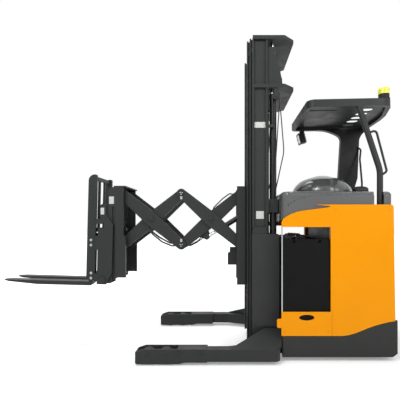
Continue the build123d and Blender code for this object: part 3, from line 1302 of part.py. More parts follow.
# Column on the right, flared under the guard
COLUMN_WIDTH = 60.0
COLUMN_FRONT = SKIRT_REAR + 196
COLUMN_REAR = SKIRT_REAR - 7
column_wire = Wire(
    [
        *Polyline(
            [
                (at(COLUMN_FRONT - 93), 0, COVER_TOP_Z),
                (at(COLUMN_FRONT + 31), 0, COVER_TOP_Z),
                (at(COLUMN_FRONT + 25), 0, 1687),
                (at(COLUMN_FRONT), 0, 2100),
            ]
        ).edges(),
        *Spline(
            [
                (at(COLUMN_FRONT), 0, 2100),
                (at(COLUMN_FRONT + 60), 0, 2176),
                (at(COLUMN_FRONT + 270), 0, guard_under(COLUMN_FRONT + 270) - 2),
            ],
            tangents=[(0, 0, 1), (1, 0, 0)],
        ).edges(),
        *Polyline(
            [
                (at(COLUMN_FRONT + 270), 0, guard_under(COLUMN_FRONT + 270) - 2),
                (at(COLUMN_FRONT + 270), 0, guard_top + 60),
                (at(COLUMN_REAR - 80), 0, guard_top + 60),
                (at(COLUMN_REAR - 80), 0, guard_under(COLUMN_REAR - 80) - 24),
            ]
        ).edges(),
        *Spline(
            [
                (at(COLUMN_REAR - 80), 0, guard_under(COLUMN_REAR - 80) - 24),
                (at(COLUMN_REAR - 22), 0, 2160),
                (at(COLUMN_REAR), 0, 2090),
            ],
            tangents=[(1, 0, -0.4), (0, 0, -1)],
        ).edges(),
        *Polyline(
            [
                (at(COLUMN_REAR), 0, 2090),
                (at(COLUMN_REAR + 17), 0, 1687),
                (at(BODY_REAR + 36), 0, COVER_TOP_Z + 70),
                (at(BODY_REAR + 60), 0, COVER_TOP_Z),
                (at(COLUMN_FRONT - 93), 0, COVER_TOP_Z),
            ]
        ).edges(),
    ]
)
column_y = -GUARD_HALF_WIDTH
column = extrude(make_face(column_wire), amount=COLUMN_WIDTH, dir=(0, 1, 0)).moved(Location((0, column_y, 0)))
column = under_guard(column)
nodes["guard_column_right"] = column
nodes["cover_dome"] = dome - column

# Padded rest on the cover beside the operator
rest = block(POST_U + 76, POST_U - 72, SPLIT_Y - 106, SPLIT_Y - 10, COVER_TOP_Z, COVER_TOP_Z + 92)
rest = fillet(rest.edges().filter_by(Axis.Z), 30)
rest = fillet(rest.faces().sort_by(Axis.Z)[-1].edges(), 28)
nodes["side_rest"] = rest - dome

# Bar from the cover up to the column
bar_foot_y = SPLIT_Y - 128
right_bar = tube(
    [
        (POST_U - 40, bar_foot_y, COVER_TOP_Z),
        (POST_U - 48, bar_foot_y - 20, 1600),
        (POST_U - 106, column_y + 160, 1880),
        (COLUMN_REAR - 4, column_y + COLUMN_WIDTH + 40, 2000),
        (COLUMN_REAR + 30, column_y + COLUMN_WIDTH - 12, 2034),
    ],
    HANDLE_R,
    60,
)
nodes["grab_handle_right"] = right_bar - column - nodes["side_rest"] - nodes["cover_dome"] - cover

# Beacon on the guard
BEACON_R = 50.0
beacon_u, beacon_y = GUARD_REAR + 138, GUARD_HALF_WIDTH - 90
beacon_base = rod_z(beacon_u, beacon_y, BEACON_R + 3, guard_top, guard_top + 22)
beacon_base += rod_z(beacon_u, beacon_y, BEACON_R - 2, guard_top + 21, guard_top + 60)
beacon_lens = rod_z(beacon_u, beacon_y, BEACON_R, guard_top + 60, guard_top + 118)
beacon_lens = fillet(beacon_lens.edges().group_by(Axis.Z)[-1], 14)
nodes["beacon_base"] = turned(beacon_base, GUARD_FRONT, GUARD_BOTTOM_Z, GUARD_SLOPE)
nodes["beacon_lens"] = turned(beacon_lens, GUARD_FRONT, GUARD_BOTTOM_Z, GUARD_SLOPE)

# Work lamp under the guard's front, turned down towards the forks
LAMP_U, LAMP_Y, LAMP_Z = GUARD_FRONT - 108, 75 - GUARD_HALF_WIDTH, GUARD_BOTTOM_Z - 96
LAMP_TURN = 14.0
lamp = block(LAMP_U + 26, LAMP_U - 34, LAMP_Y - 56, LAMP_Y + 56, LAMP_Z - 54, LAMP_Z + 54)
lamp = fillet(lamp.edges().filter_by(Axis.X), 12)
lens_rim = block(LAMP_U + 25, LAMP_U + 38, LAMP_Y - 60, LAMP_Y + 60, LAMP_Z - 58, LAMP_Z + 58)
lens_rim = fillet(lens_rim.edges().filter_by(Axis.X), 14)
lens_rim -= block(LAMP_U + 32, LAMP_U + 40, LAMP_Y - 50, LAMP_Y + 50, LAMP_Z - 48, LAMP_Z + 48)
lamp += lens_rim
for n in range(5):
    fin_z = LAMP_Z - 40 + n * 20
    lamp -= block(LAMP_U - 35, LAMP_U - 20, LAMP_Y - 57, LAMP_Y + 57, fin_z - 4, fin_z + 4)
lamp = turned(lamp, LAMP_U, LAMP_Z, LAMP_TURN)
bracket = block(LAMP_U + 22, LAMP_U - 22, LAMP_Y - 20, LAMP_Y + 20, LAMP_Z + 30, guard_top - 20)
lamp += bracket - turned(
    block(GUARD_FRONT + 60, GUARD_REAR, -panel_out, panel_out, guard_top - 34, guard_top + 200),
    GUARD_FRONT,
    GUARD_BOTTOM_Z,
    GUARD_SLOPE,
)
nodes["work_lamp"] = lamp

# Operator's place
mat_rear, mat_top = SKIRT_REAR + 22, DECK_Z + 10
nodes["floor_mat"] = block(WELL_FRONT - 20, mat_rear, SPLIT_Y + 8, WELL_Y - 8, DECK_Z, mat_top)
pedals = []
for y0 in (SPLIT_Y + 50, WELL_Y - 150):
    pedal = block(WELL_FRONT - 60, WELL_FRONT - 190, y0, y0 + 100, mat_top, mat_top + 14)
    pedal = fillet(pedal.edges().filter_by(Axis.Z), 16)
    for n in range(4):
        groove_u = WELL_FRONT - 80 - n * 28
        pedal -= block(groove_u, groove_u - 10, y0 + 10, y0 + 90, mat_top + 11, mat_top + 15)
    pedals.append(pedal)
nodes["pedals"] = group(*pedals)
CONSOLE_DEPTH = WELL_FRONT - WELL_TOP_FRONT + 160
console_top = PANEL_TOP_Z - 12
console = side_plate(
    [
        (WELL_FRONT, 1090),
        (WELL_FRONT, console_top),
        (WELL_FRONT - CONSOLE_DEPTH + 20, console_top),
        (WELL_FRONT - CONSOLE_DEPTH, console_top - 30),
        (WELL_FRONT - CONSOLE_DEPTH + 26, 1200),
    ],
    SPLIT_Y,
    WELL_Y,
)
console -= side_plate(
    [
        (WELL_FRONT - 56, 1150),
        (WELL_FRONT - 56, 1260),
        (WELL_FRONT - CONSOLE_DEPTH - 1, 1275),
        (WELL_FRONT - CONSOLE_DEPTH - 1, 1150),
    ],
    SPLIT_Y + 60,
    WELL_Y - 60,
)
nodes["console"] = console
STEER_R = 70.0
steer_u, steer_y, steer_z = WELL_TOP_FRONT - STEER_R - 12, WELL_Y - 112, console_top + 26
steer_rim = Pos(at(steer_u), steer_y, steer_z + 20) * Torus(STEER_R - 9, 9)
steering = steer_rim + rod_z(steer_u, steer_y, 22, console_top, steer_z + 24)
for n in range(3):
    turn = Pos(at(steer_u), steer_y, steer_z + 18) * Rot(0, 0, 30 + n * 120)
    steering += turn * Pos(STEER_R / 2 - 4, 0, 0) * Box(STEER_R - 10, 20, 8)
steering += rod_z(steer_u - STEER_R + 12, steer_y, 15, steer_z + 24, steer_z + 62)
nodes["steering_wheel"] = steering
lever_u, lever_y = steer_u, SPLIT_Y + 74
lever_base = rod_z(lever_u, lever_y, 30, console_top, console_top + 14)
lever_stem = rod_z(lever_u, lever_y, 9, console_top + 13, console_top + 60)
grip = block(lever_u - 26, lever_u + 26, lever_y - 20, lever_y + 20, console_top + 50, console_top + 104)
grip = fillet(grip.edges().filter_by(Axis.Z), 16)
grip = fillet(grip.faces().sort_by(Axis.Z)[-1].edges(), 12)
nodes["control_lever"] = lever_base + lever_stem + grip
nodes["back_pad"] = block(POST_U + 104, POST_U - 76, SPLIT_Y, SPLIT_Y + 40, 1000, 1320)

# Drive unit with its steered wheel
gear = rod_z(drive_u, drive_y, DRIVE_FLANGE_R, BEARING_Z - 12, BEARING_Z + 30)
gear += rod_z(drive_u, drive_y, 105, BEARING_Z + 29, BEARING_Z + 330)
side_y = DRIVE_WHEEL_WIDTH / 2 + 8
gear += block(
    drive_u - 60, drive_u + 60, drive_y + side_y, drive_y + side_y + 44, DRIVE_WHEEL_R - 50, BEARING_Z
)
gear += rod_y(drive_u, DRIVE_WHEEL_R, 60, drive_y + side_y, drive_y + side_y + 44)
gear += rod_y(drive_u, DRIVE_WHEEL_R, 30, drive_y - DRIVE_WHEEL_WIDTH / 2 + 10, drive_y + side_y + 1)
nodes["drive_unit"] = gear
tyre, hub = wheel(
    drive_u, drive_y, DRIVE_WHEEL_R, DRIVE_WHEEL_R, DRIVE_WHEEL_WIDTH, 110.0, 30.0 + PIN_CLEARANCE
)
nodes["drive_wheel"] = tyre + hub

# Caster with two wheels
caster = rod_z(caster_u, caster_y, 60, 196, DECK_Z - 14.3)
caster += block(caster_u + 30, caster_u - CASTER_TRAIL - 34, caster_y - 62, caster_y + 62, 180, 197)
caster += block(caster_u - 10, caster_u - CASTER_TRAIL - 28, caster_y - 10, caster_y + 10, 50, 181)
caster += rod_y(caster_u - CASTER_TRAIL, CASTER_WHEEL_R, 14, caster_y - 66, caster_y + 66)
nodes["caster_fork"] = caster
caster_wheels = []
for side in (-1, 1):
    tyre, hub = wheel(
        caster_u - CASTER_TRAIL,
        caster_y + side * 40,
        CASTER_WHEEL_R,
        CASTER_WHEEL_R,
        44,
        50.0,
        14 + PIN_CLEARANCE,
    )
    caster_wheels.append(tyre + hub)
nodes["caster_wheels"] = group(*caster_wheels)


def along_arm(pin, rearward, points, y):
    """Points along a scissor arm's side: distance from a pin and distance from the arm's centre line."""
    direction = -1 if rearward else 1
    slope = radians(ARM_ANGLE)
    run, rise = direction * cos(slope), sin(slope)
    return [
        (pin[0] + a * run + b * direction * sin(slope), y, pin[1] + a * rise - b * cos(slope))
        for a, b in points
    ]


# Hoses hung under the front outer arms and laid along the rear inner arms, ending in the arms' edges
HOSE_R = 5.0
MAIN_HOSE_R = 7.5
front_hose_y = OUTER_ARM_Y + ARM_THICKNESS / 2
rear_hose_y = INNER_ARM_Y + ARM_THICKNESS / 2
front_routes = [
    ([(352, 50), (330, 92), (215, 88), (100, 62), (62, 38)], -5.5, HOSE_R),
    ([(336, 50), (312, 86), (205, 78), (92, 54), (54, 36)], 5.5, HOSE_R),
    ([(384, 40), (356, 84), (270, 104), (160, 99), (62, 66), (26, 26)], 0, MAIN_HOSE_R),
]
front_hoses = []
for points, aside, radius in front_routes:
    front_hoses.append(tube(along_arm(mid_bottom, False, points, front_hose_y + aside), radius, 60))
nodes["hoses_front"] = group(*[hose - nodes["scissor_front_outer"] for hose in front_hoses])
rear_routes = [
    ([(24, 24), (56, 62), (130, 80), (196, 84), (226, 60)], -5.5, HOSE_R),
    ([(30, 24), (64, 56), (132, 70), (180, 72), (208, 46)], 5.5, HOSE_R),
    ([(434, -40), (470, -70), (590, -78), (676, -72), (700, -40)], 0, HOSE_R + 1),
]
rear_hoses = []
for points, aside, radius in rear_routes:
    rear_hoses.append(tube(along_arm(mid_bottom, True, points, rear_hose_y + aside), radius, 40))
nodes["hoses_rear"] = group(*[hose - nodes["scissor_rear_inner"] for hose in rear_hoses])

# Hoses from the guides on the mast over the sheaves and down to the clamps of the lift cylinders
sheave_u, sheave_z = SHEAVE_AT
run = SHEAVE_R + 2
clamp_top = CLAMP_Z + CLAMP_HEIGHT
foot_y = CYLINDER_Y + 40
mast_hoses = []
for side in (-1, 1):
    for offset, bow in ((-HOSE_PITCH / 2, 0), (HOSE_PITCH / 2, 38)):
        y = side * (SHEAVE_Y + offset)
        foot_u = -CYLINDER_BACK - 2 - bow * 0.4
        route = [(sheave_u + run, y, HOSE_GUIDE_Z), (sheave_u + run, y, sheave_z + run)]
        route.append((sheave_u - run, y, sheave_z + run))
        route.append((sheave_u - run, y, sheave_z - run - 10))
        bends = [SHEAVE_R - 1, SHEAVE_R - 1, 160]
        if bow:
            route.append((sheave_u - run - bow, y, (clamp_top + sheave_z) / 2 - 40))
            bends.append(300)
        route.append((foot_u, side * foot_y, clamp_top + 70))
        route.append((foot_u, side * foot_y, clamp_top))
        bends.append(90)
        path = FilletPolyline([(at(u), hose_y, z) for u, hose_y, z in route], radius=bends)
        section = Plane(origin=path @ 0, z_dir=path % 0) * Circle(HOSE_R)
        mast_hoses.append(sweep(section, path))
nodes["mast_hoses"] = group(*mast_hoses)

# Cables between the battery's cells
cables = []
for n in range(2):
    cable_y = battery_half - 14 - column_pitch * (n + 0.5)
    from_u = battery_front - 14 - row_pitch * 0.25
    to_u = from_u - row_pitch
    cable_z = BATTERY_TOP_Z + 46 - n * 10
    cable = tube(
        [
            (from_u, cable_y, BATTERY_TOP_Z - 12),
            (from_u, cable_y, cable_z),
            (to_u, cable_y - 12, cable_z - 8),
            (to_u, cable_y - 12, BATTERY_TOP_Z - 12),
        ],
        8,
        22,
    )
    cables.append(cable)
nodes["battery_cables"] = group(*cables)


for name, shape in nodes.items():
    export_step(shape, f"parts/{name}.step")
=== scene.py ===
"""Looks of the double deep reach truck: materials, small fittings, padded rests, light and camera.

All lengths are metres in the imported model's own frame: X forward to the forks, Y to the truck's left, Z up.
"""

import json
from math import cos, pi, radians, sin

import bmesh
import bpy
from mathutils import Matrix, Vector


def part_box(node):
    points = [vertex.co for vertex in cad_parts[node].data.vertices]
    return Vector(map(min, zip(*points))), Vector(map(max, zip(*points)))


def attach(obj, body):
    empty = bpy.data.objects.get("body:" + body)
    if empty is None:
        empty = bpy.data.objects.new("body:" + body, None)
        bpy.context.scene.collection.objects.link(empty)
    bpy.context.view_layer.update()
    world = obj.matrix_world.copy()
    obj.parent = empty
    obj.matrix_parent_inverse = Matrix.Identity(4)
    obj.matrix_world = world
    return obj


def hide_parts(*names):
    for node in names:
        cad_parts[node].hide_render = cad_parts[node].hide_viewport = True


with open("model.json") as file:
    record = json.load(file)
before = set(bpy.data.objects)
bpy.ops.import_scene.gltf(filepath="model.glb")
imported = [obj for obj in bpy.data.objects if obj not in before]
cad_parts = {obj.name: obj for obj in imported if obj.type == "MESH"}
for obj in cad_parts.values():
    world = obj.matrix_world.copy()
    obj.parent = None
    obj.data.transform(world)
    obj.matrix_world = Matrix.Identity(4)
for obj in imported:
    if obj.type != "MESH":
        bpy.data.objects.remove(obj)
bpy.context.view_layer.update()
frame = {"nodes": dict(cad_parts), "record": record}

# Photograph: a one-point view square to the truck's left side
CAMERA_AHEAD_OF_MAST = 0.222
CAMERA_DISTANCE = 3.630
CAMERA_HEIGHT = 1.198
PICTURE_WIDTH_PX = 400
FOCAL_LENGTH_PX = 360
PRINCIPAL_POINT_PX = (228, 222)  # from the photograph's upper left corner
SENSOR_WIDTH = 36.0  # millimetres

nodes = frame["nodes"]
ROLLER_PAST_RAIL = 0.0076  # the outer mast's rollers reach this far ahead of its rails
MAST_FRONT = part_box("mast_outer")[1][0] - ROLLER_PAST_RAIL
LEG_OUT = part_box("leg_left")[1][1]
PANEL_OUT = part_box("side_panel_left")[1][1]


# Materials
def linear(red, green, blue):
    """Scene colour of a 0-255 display colour."""
    return tuple((c / 255) ** 2.2 for c in (red, green, blue)) + (1.0,)


def graph(name):
    """New material as (material, node tree, principled shader)."""
    material = bpy.data.materials.new(name)
    material.use_nodes = True
    tree = material.node_tree
    return material, tree, tree.nodes["Principled BSDF"]


def noise(tree, scale, detail=4.0, roughness=0.55):
    """Noise in the object's own space."""
    place = tree.nodes.new("ShaderNodeTexCoord")
    texture = tree.nodes.new("ShaderNodeTexNoise")
    texture.inputs["Scale"].default_value = scale
    texture.inputs["Detail"].default_value = detail
    texture.inputs["Roughness"].default_value = roughness
    tree.links.new(place.outputs["Object"], texture.inputs["Vector"])
    return texture.outputs["Fac"]


def ramp(tree, source, stops):
    """Colour ramp over (position, colour) stops."""
    node = tree.nodes.new("ShaderNodeValToRGB")
    node.color_ramp.elements[0].position = stops[0][0]
    node.color_ramp.elements[0].color = stops[0][1]
    node.color_ramp.elements[1].position = stops[-1][0]
    node.color_ramp.elements[1].color = stops[-1][1]
    for position, colour in stops[1:-1]:
        node.color_ramp.elements.new(position).color = colour
    tree.links.new(source, node.inputs["Fac"])
    return node.outputs["Color"]


def grey(value):
    return (value, value, value, 1.0)


def shaded(colour, factor):
    return tuple(c * factor for c in colour[:3]) + (1.0,)


def roughen(tree, shader, low, high, scale):
    """Roughness that drifts between two values."""
    spread = ramp(tree, noise(tree, scale, 5.0), [(0.3, grey(low)), (0.7, grey(high))])
    tree.links.new(spread, shader.inputs["Roughness"])


def relief(tree, shader, scale, strength, distance, edge=0.0):
    """Fine relief, with softened edges where edge is a radius."""
    bump = tree.nodes.new("ShaderNodeBump")
    bump.inputs["Strength"].default_value = strength
    bump.inputs["Distance"].default_value = distance
    tree.links.new(noise(tree, scale, 3.0), bump.inputs["Height"])
    if edge:
        bevel = tree.nodes.new("ShaderNodeBevel")
        bevel.samples = 4
        bevel.inputs["Radius"].default_value = edge
        tree.links.new(bevel.outputs["Normal"], bump.inputs["Normal"])
    tree.links.new(bump.outputs["Normal"], shader.inputs["Normal"])


def worn_and_highlit_edges(tree, colour, bare, reach):
    """The colour, a little lighter where a rounded normal leaves the flat one: a painted highlight on edges,
    together with paint worn there.
    """
    rounded = tree.nodes.new("ShaderNodeBevel")
    rounded.samples = 4
    rounded.inputs["Radius"].default_value = reach
    flat = tree.nodes.new("ShaderNodeNewGeometry")
    agree = tree.nodes.new("ShaderNodeVectorMath")
    agree.operation = "DOT_PRODUCT"
    tree.links.new(rounded.outputs["Normal"], agree.inputs[0])
    tree.links.new(flat.outputs["Normal"], agree.inputs[1])
    # Edges a little lighter in patches: painted highlight, mixed with paint worn there
    edge = ramp(tree, agree.outputs["Value"], [(0.80, grey(1.0)), (0.96, grey(0.0))])
    wear_and_sheen_patches = ramp(tree, noise(tree, 26.0, 5.0), [(0.42, grey(0.0)), (0.62, grey(1.0))])
    amount = tree.nodes.new("ShaderNodeMath")
    amount.operation = "MULTIPLY"
    tree.links.new(edge, amount.inputs[0])
    tree.links.new(wear_and_sheen_patches, amount.inputs[1])
    mix = tree.nodes.new("ShaderNodeMixRGB")
    # The lighter copy of the colour stands partly for painted highlight and partly for worn paint
    mix.inputs["Color2"].default_value = bare
    tree.links.new(amount.outputs["Value"], mix.inputs["Fac"])
    tree.links.new(colour, mix.inputs["Color1"])
    return mix.outputs["Color"]


def paint(
    name, colour, low=0.35, high=0.5, grain=900.0, strength=0.12, coat=0.0, edge=0.002, gloss=0.3, mottle=0.05
):
    """Powder coat or lacquer: faint mottling, orange peel and edges rubbed a little lighter, partly as
    painted highlight and partly as worn paint.
    """
    material, tree, shader = graph(name)
    mottled = ramp(
        tree,
        noise(tree, 3.0, 6.0),
        [(0.3, shaded(colour, 1 - mottle)), (0.5, colour), (0.72, shaded(colour, 1 + mottle))],
    )
    # Edges lightened: painted highlight on every edge, together with worn paint
    tree.links.new(worn_and_highlit_edges(tree, mottled, shaded(colour, 1.6), edge * 1.5), shader.inputs["Base Color"])
    roughen(tree, shader, low, high, 9.0)
    relief(tree, shader, grain, strength, 0.0004, edge)
    shader.inputs["Coat Weight"].default_value = coat
    shader.inputs["Coat Roughness"].default_value = 0.08
    shader.inputs["Specular IOR Level"].default_value = gloss
    return material


frame_grey = paint("frame_grey", linear(47, 49, 48), 0.42, 0.56, edge=0.003, gloss=0.2)
mast_grey = paint("mast_grey", linear(48, 50, 49), 0.42, 0.58, edge=0.003, gloss=0.22)
fork_steel = paint("fork_steel", linear(43, 45, 44), 0.36, 0.5, edge=0.003, gloss=0.25)
cylinder_black = paint("cylinder_black", linear(26, 27, 27), 0.35, 0.5)
battery_black = paint("battery_black", linear(14, 14, 15), 0.45, 0.6, grain=500.0, strength=0.2, gloss=0.12)
panel_orange = paint(
    "panel_orange", linear(231, 145, 3), 0.28, 0.38, grain=300.0, strength=0.05, gloss=0.12, mottle=0.015
)
cover_grey = paint(
    "cover_grey", linear(82, 83, 83), 0.16, 0.24, grain=260.0, strength=0.03, coat=0.4, edge=0.008, gloss=0.5
)
black_plastic = paint("black_plastic", linear(22, 22, 23), 0.5, 0.65, grain=700.0, strength=0.3)
drive_iron = paint("drive_iron", linear(40, 41, 42), 0.5, 0.7, grain=260.0, strength=0.4)
column_black = paint("column_black", linear(14, 15, 15), 0.34, 0.44, gloss=0.15)
plate_white = paint("plate_white", linear(196, 197, 194), 0.3, 0.42, strength=0.04, edge=0.001)
stop_red = paint("stop_red", linear(190, 24, 20), 0.25, 0.35, strength=0.04)
vinyl = paint("vinyl", linear(24, 24, 25), 0.42, 0.55, grain=420.0, strength=0.5, edge=0.002)
display_glass = paint("display_glass", linear(14, 18, 20), 0.06, 0.1, strength=0.0, coat=0.6, edge=0.001)
lamp_glass = paint("lamp_glass", linear(210, 214, 216), 0.06, 0.12, grain=140.0, strength=0.25, coat=0.7)


def metal(name, colour, roughness):
    """Bare metal with fine turning marks."""
    material, tree, shader = graph(name)
    shader.inputs["Metallic"].default_value = 1.0
    tint = ramp(tree, noise(tree, 60.0), [(0.3, shaded(colour, 0.9)), (0.7, colour)])
    tree.links.new(tint, shader.inputs["Base Color"])
    roughen(tree, shader, roughness, roughness + 0.08, 40.0)
    relief(tree, shader, 1500.0, 0.08, 0.0002)
    return material


chrome = metal("chrome", linear(205, 207, 210), 0.12)
zinc = metal("zinc", linear(168, 170, 172), 0.34)


def rubber(name, colour, low=0.6, high=0.8):
    """Matt rubber or polyurethane with a dusty bloom."""
    material, tree, shader = graph(name)
    bloom = ramp(tree, noise(tree, 22.0, 6.0), [(0.35, colour), (0.75, shaded(colour, 1.6))])
    tree.links.new(bloom, shader.inputs["Base Color"])
    roughen(tree, shader, low, high, 30.0)
    relief(tree, shader, 1200.0, 0.3, 0.0004)
    return material


tyre = rubber("tyre", linear(38, 38, 38))
mat_rubber = rubber("mat_rubber", linear(30, 30, 30))
hose_rubber = rubber("hose_rubber", linear(18, 18, 18), 0.4, 0.55)

lens_material, lens_tree, lens_shader = graph("beacon_lens")
lens_tint = ramp(
    lens_tree, noise(lens_tree, 30.0), [(0.3, linear(232, 236, 40)), (0.7, linear(244, 246, 70))]
)
lens_tree.links.new(lens_tint, lens_shader.inputs["Base Color"])
lens_shader.inputs["Roughness"].default_value = 0.12
lens_shader.inputs["Coat Weight"].default_value = 0.6
lens_shader.inputs["Subsurface Weight"].default_value = 0.25

SLOTS = {
    "frame_grey": frame_grey,
    "panel_orange": panel_orange,
    "cover_grey": cover_grey,
    "battery_black": battery_black,
    "cylinder_black": cylinder_black,
    "chrome_rod": chrome,
    "fork_steel": fork_steel,
    "drive_iron": drive_iron,
    "beacon_yellow": lens_material,
    "black_plastic": black_plastic,
    "rubber_mat": mat_rubber,
    "hose_rubber": hose_rubber,
    "zinc_plate": zinc,
    "wheel_tyre": tyre,
}
for part in frame["record"]["subparts"]:
    node = nodes[part["node"]]
    for slot in node.material_slots:
        slot.material = SLOTS[part["material_slot"]]
for name in ("mast_outer", "mast_middle", "mast_inner"):
    for slot in nodes[name].material_slots:
        slot.material = mast_grey
for slot in nodes["guard_column_right"].material_slots:
    slot.material = column_black


# Mesh helpers
FORWARD, REARWARD, LEFTWARD, UPWARD = (1, 0, 0), (-1, 0, 0), (0, 1, 0), (0, 0, 1)
SIDES = (1, -1)  # the truck's left and right, as signs of Y
TOP_CHAMFER = 0.0012  # on the rim of a small plate
LEAST_CORNER = 0.0004
SMOOTH_BELOW = 38  # degrees between faces that are shaded as one


def ahead(metres):
    """X of a station measured forward from the outer mast's front face."""
    return MAST_FRONT + metres


def middle_of(low, high):
    """Middle of a box given by its corners."""
    return Vector([(low[n] + high[n]) / 2 for n in range(3)])


def piece(name, mesh, material, body, smooth_below=SMOOTH_BELOW):
    """Object from a bmesh, riding on a body of the frame."""
    bmesh.ops.recalc_face_normals(mesh, faces=mesh.faces)
    data = bpy.data.meshes.new(name)
    mesh.to_mesh(data)
    mesh.free()
    data.shade_smooth()
    data.set_sharp_from_angle(angle=radians(smooth_below))
    data.materials.append(material)
    made = bpy.data.objects.new(name, data)
    bpy.context.collection.objects.link(made)
    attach(made, body)
    return made


def facing(place, axis):
    """Matrix that puts local Z along an axis at a place."""
    matrix = Vector(axis).to_track_quat("Z", "Y").to_matrix().to_4x4()
    matrix.translation = Vector(place)
    return matrix


def loft(mesh, loops):
    """Skin over loops of points with equal counts, closed at both ends."""
    rows = [[mesh.verts.new(point) for point in loop] for loop in loops]
    count = len(rows[0])
    for low, high in zip(rows, rows[1:]):
        for n in range(count):
            after = (n + 1) % count
            mesh.faces.new((low[n], low[after], high[after], high[n]))
    mesh.faces.new(list(reversed(rows[0])))
    mesh.faces.new(rows[-1])


def lathe(mesh, profile, place, axis, steps=24):
    """Turned form: profile of (distance along the axis, radius)."""
    matrix = facing(place, axis)
    turns = [2 * pi * n / steps for n in range(steps)]
    loft(mesh, [[matrix @ Vector((r * cos(a), r * sin(a), z)) for a in turns] for z, r in profile])


def rounded_outline(width, height, corner, arc_steps=5):
    """Points of a rounded rectangle about the origin."""
    points = []
    for n, (sx, sy) in enumerate(((1, 1), (-1, 1), (-1, -1), (1, -1))):
        centre = (sx * (width / 2 - corner), sy * (height / 2 - corner))
        for step in range(arc_steps + 1):
            angle = pi / 2 * (n + step / arc_steps)
            points.append((centre[0] + corner * cos(angle), centre[1] + corner * sin(angle)))
    return points


def plate(mesh, place, axis, width, height, thickness, corner):
    """Rounded plate standing on a face, with a chamfered rim."""
    matrix = facing(place, axis)
    rim = min(TOP_CHAMFER, thickness / 2)
    full = rounded_outline(width, height, corner)
    inner = rounded_outline(width - 2 * rim, height - 2 * rim, max(corner - rim, LEAST_CORNER))
    levels = [(full, 0), (full, thickness - rim), (inner, thickness)]
    loft(mesh, [[matrix @ Vector((x, y, z)) for x, y in outline] for outline, z in levels])


def scaled(profile, size):
    """A profile given in shares of a size."""
    return [(z * size, r * size) for z, r in profile]


WASHER = [(0, 1.15), (0.18, 1.15), (0.2, 1.08)]
HEXAGON = [(0.2, 0.92), (0.75, 0.92), (0.85, 0.78)]
SOCKET_HEAD = [(0, 1), (0.5, 1), (0.65, 0.88), (0.65, 0.5), (0.35, 0.46)]


def bolt(mesh, place, axis, size):
    """Washer and chamfered hexagon head of a bolt, size across its thread."""
    lathe(mesh, scaled(WASHER, size), place, axis)
    lathe(mesh, scaled(HEXAGON, size), place, axis, 6)


def socket_screw(mesh, place, axis, radius):
    """Round head with a socket."""
    lathe(mesh, scaled(SOCKET_HEAD, radius), place, axis)


# Scissor pins: a round plate and screws on each cap, and keepers on the middle pins
PIN_CAP_OUT = 0.186  # outer faces of the crossing pins' caps
MIDDLE_CAP_OUT = 0.185
ARM_OUT = 0.178  # outer faces of the outer arms
PIN_PLATE = [(0, 0.019), (0.0015, 0.019), (0.0025, 0.0175)]
PIN_PLATE_TOP = 0.0026
PIN_SCREW = 0.0045
SCREW_CIRCLE = 0.011
FIRST_SCREW = 0.6  # radians
KEEPER_FROM_PIN = 0.044
KEEPER_THICKNESS = 0.005

joint_at = {joint["name"]: joint.get("pos_m") for joint in frame["record"]["behaviour"]["joints"]}
lower_pin = joint_at["lower_middle_joint"]
upper_pin = (lower_pin[0], 0, joint_at["reach"][2])


def pin_ends(name, place, out, body, count):
    """Plates on both ends of a pin, with one screw in the middle or several round it."""
    plates, screws = bmesh.new(), bmesh.new()
    circle = SCREW_CIRCLE if count > 1 else 0.0
    for side in SIDES:
        centre = Vector((place[0], side * out, place[2]))
        lathe(plates, PIN_PLATE, centre, (0, side, 0))
        for n in range(count):
            angle = 2 * pi * n / count + FIRST_SCREW
            spot = centre + Vector((circle * cos(angle), side * PIN_PLATE_TOP, circle * sin(angle)))
            bolt(screws, spot, (0, side, 0), PIN_SCREW)
    piece(name, plates, frame_grey, body)
    piece(name + "_screws", screws, zinc if count > 1 else frame_grey, body)


def keepers(name, place, body, rise):
    """Small plate screwed to the arm over or under a middle pin, on both sides."""
    mesh = bmesh.new()
    for side in SIDES:
        centre = Vector((place[0], side * ARM_OUT, place[2] + rise * KEEPER_FROM_PIN))
        plate(mesh, centre, (0, side, 0), 0.022, 0.03, KEEPER_THICKNESS, 0.004)
        bolt(mesh, centre + Vector((0, side * KEEPER_THICKNESS, 0)), (0, side, 0), 0.006)
    piece(name, mesh, zinc, body)


pin_ends("pin_rear_cross", joint_at["rear_crossing"], PIN_CAP_OUT, "rear_inner_arms", 1)
pin_ends("pin_front_cross", joint_at["front_crossing"], PIN_CAP_OUT, "front_inner_arms", 1)
pin_ends("pin_upper_middle", upper_pin, MIDDLE_CAP_OUT, "rear_outer_arms", 3)
pin_ends("pin_lower_middle", lower_pin, MIDDLE_CAP_OUT, "front_outer_arms", 3)
keepers("keeper_upper", upper_pin, "rear_outer_arms", -1)
keepers("keeper_lower", lower_pin, "front_outer_arms", 1)

# Bolts of the load backrest on the fork carriage
BACKREST_OUT = 0.232
BACKREST_BOLT_AHEAD = 1.515
BACKREST_BOLT = 0.011
BACKREST_BOLT_HEIGHTS = (1.028, 0.981, 0.717, 0.669)
mesh = bmesh.new()
for z in BACKREST_BOLT_HEIGHTS:
    for side in SIDES:
        bolt(mesh, (ahead(BACKREST_BOLT_AHEAD), side * BACKREST_OUT, z), (0, side, 0), BACKREST_BOLT)
piece("backrest_bolts", mesh, zinc, "fork_carriage")

# Bare plates where the photograph shows labels
WEB_OUT = 0.360  # outer face of the outer rail's web
FORK_FRAME_OUT = 0.226
FORK_CARRIAGE_OUT = 0.248
RAIL_MIDDLE = -0.068  # station of the rail's middle
LABEL_THICKNESS = 0.0012
LABEL_CORNER = 0.004


def blank_plates(name, body, out, places):
    """Thin bare plates on the left side, given as (station, height, width, height of the plate)."""
    mesh = bmesh.new()
    for u, z, width, height in places:
        plate(mesh, (ahead(u), out, z), LEFTWARD, width, height, LABEL_THICKNESS, LABEL_CORNER)
    piece(name, mesh, plate_white, body)


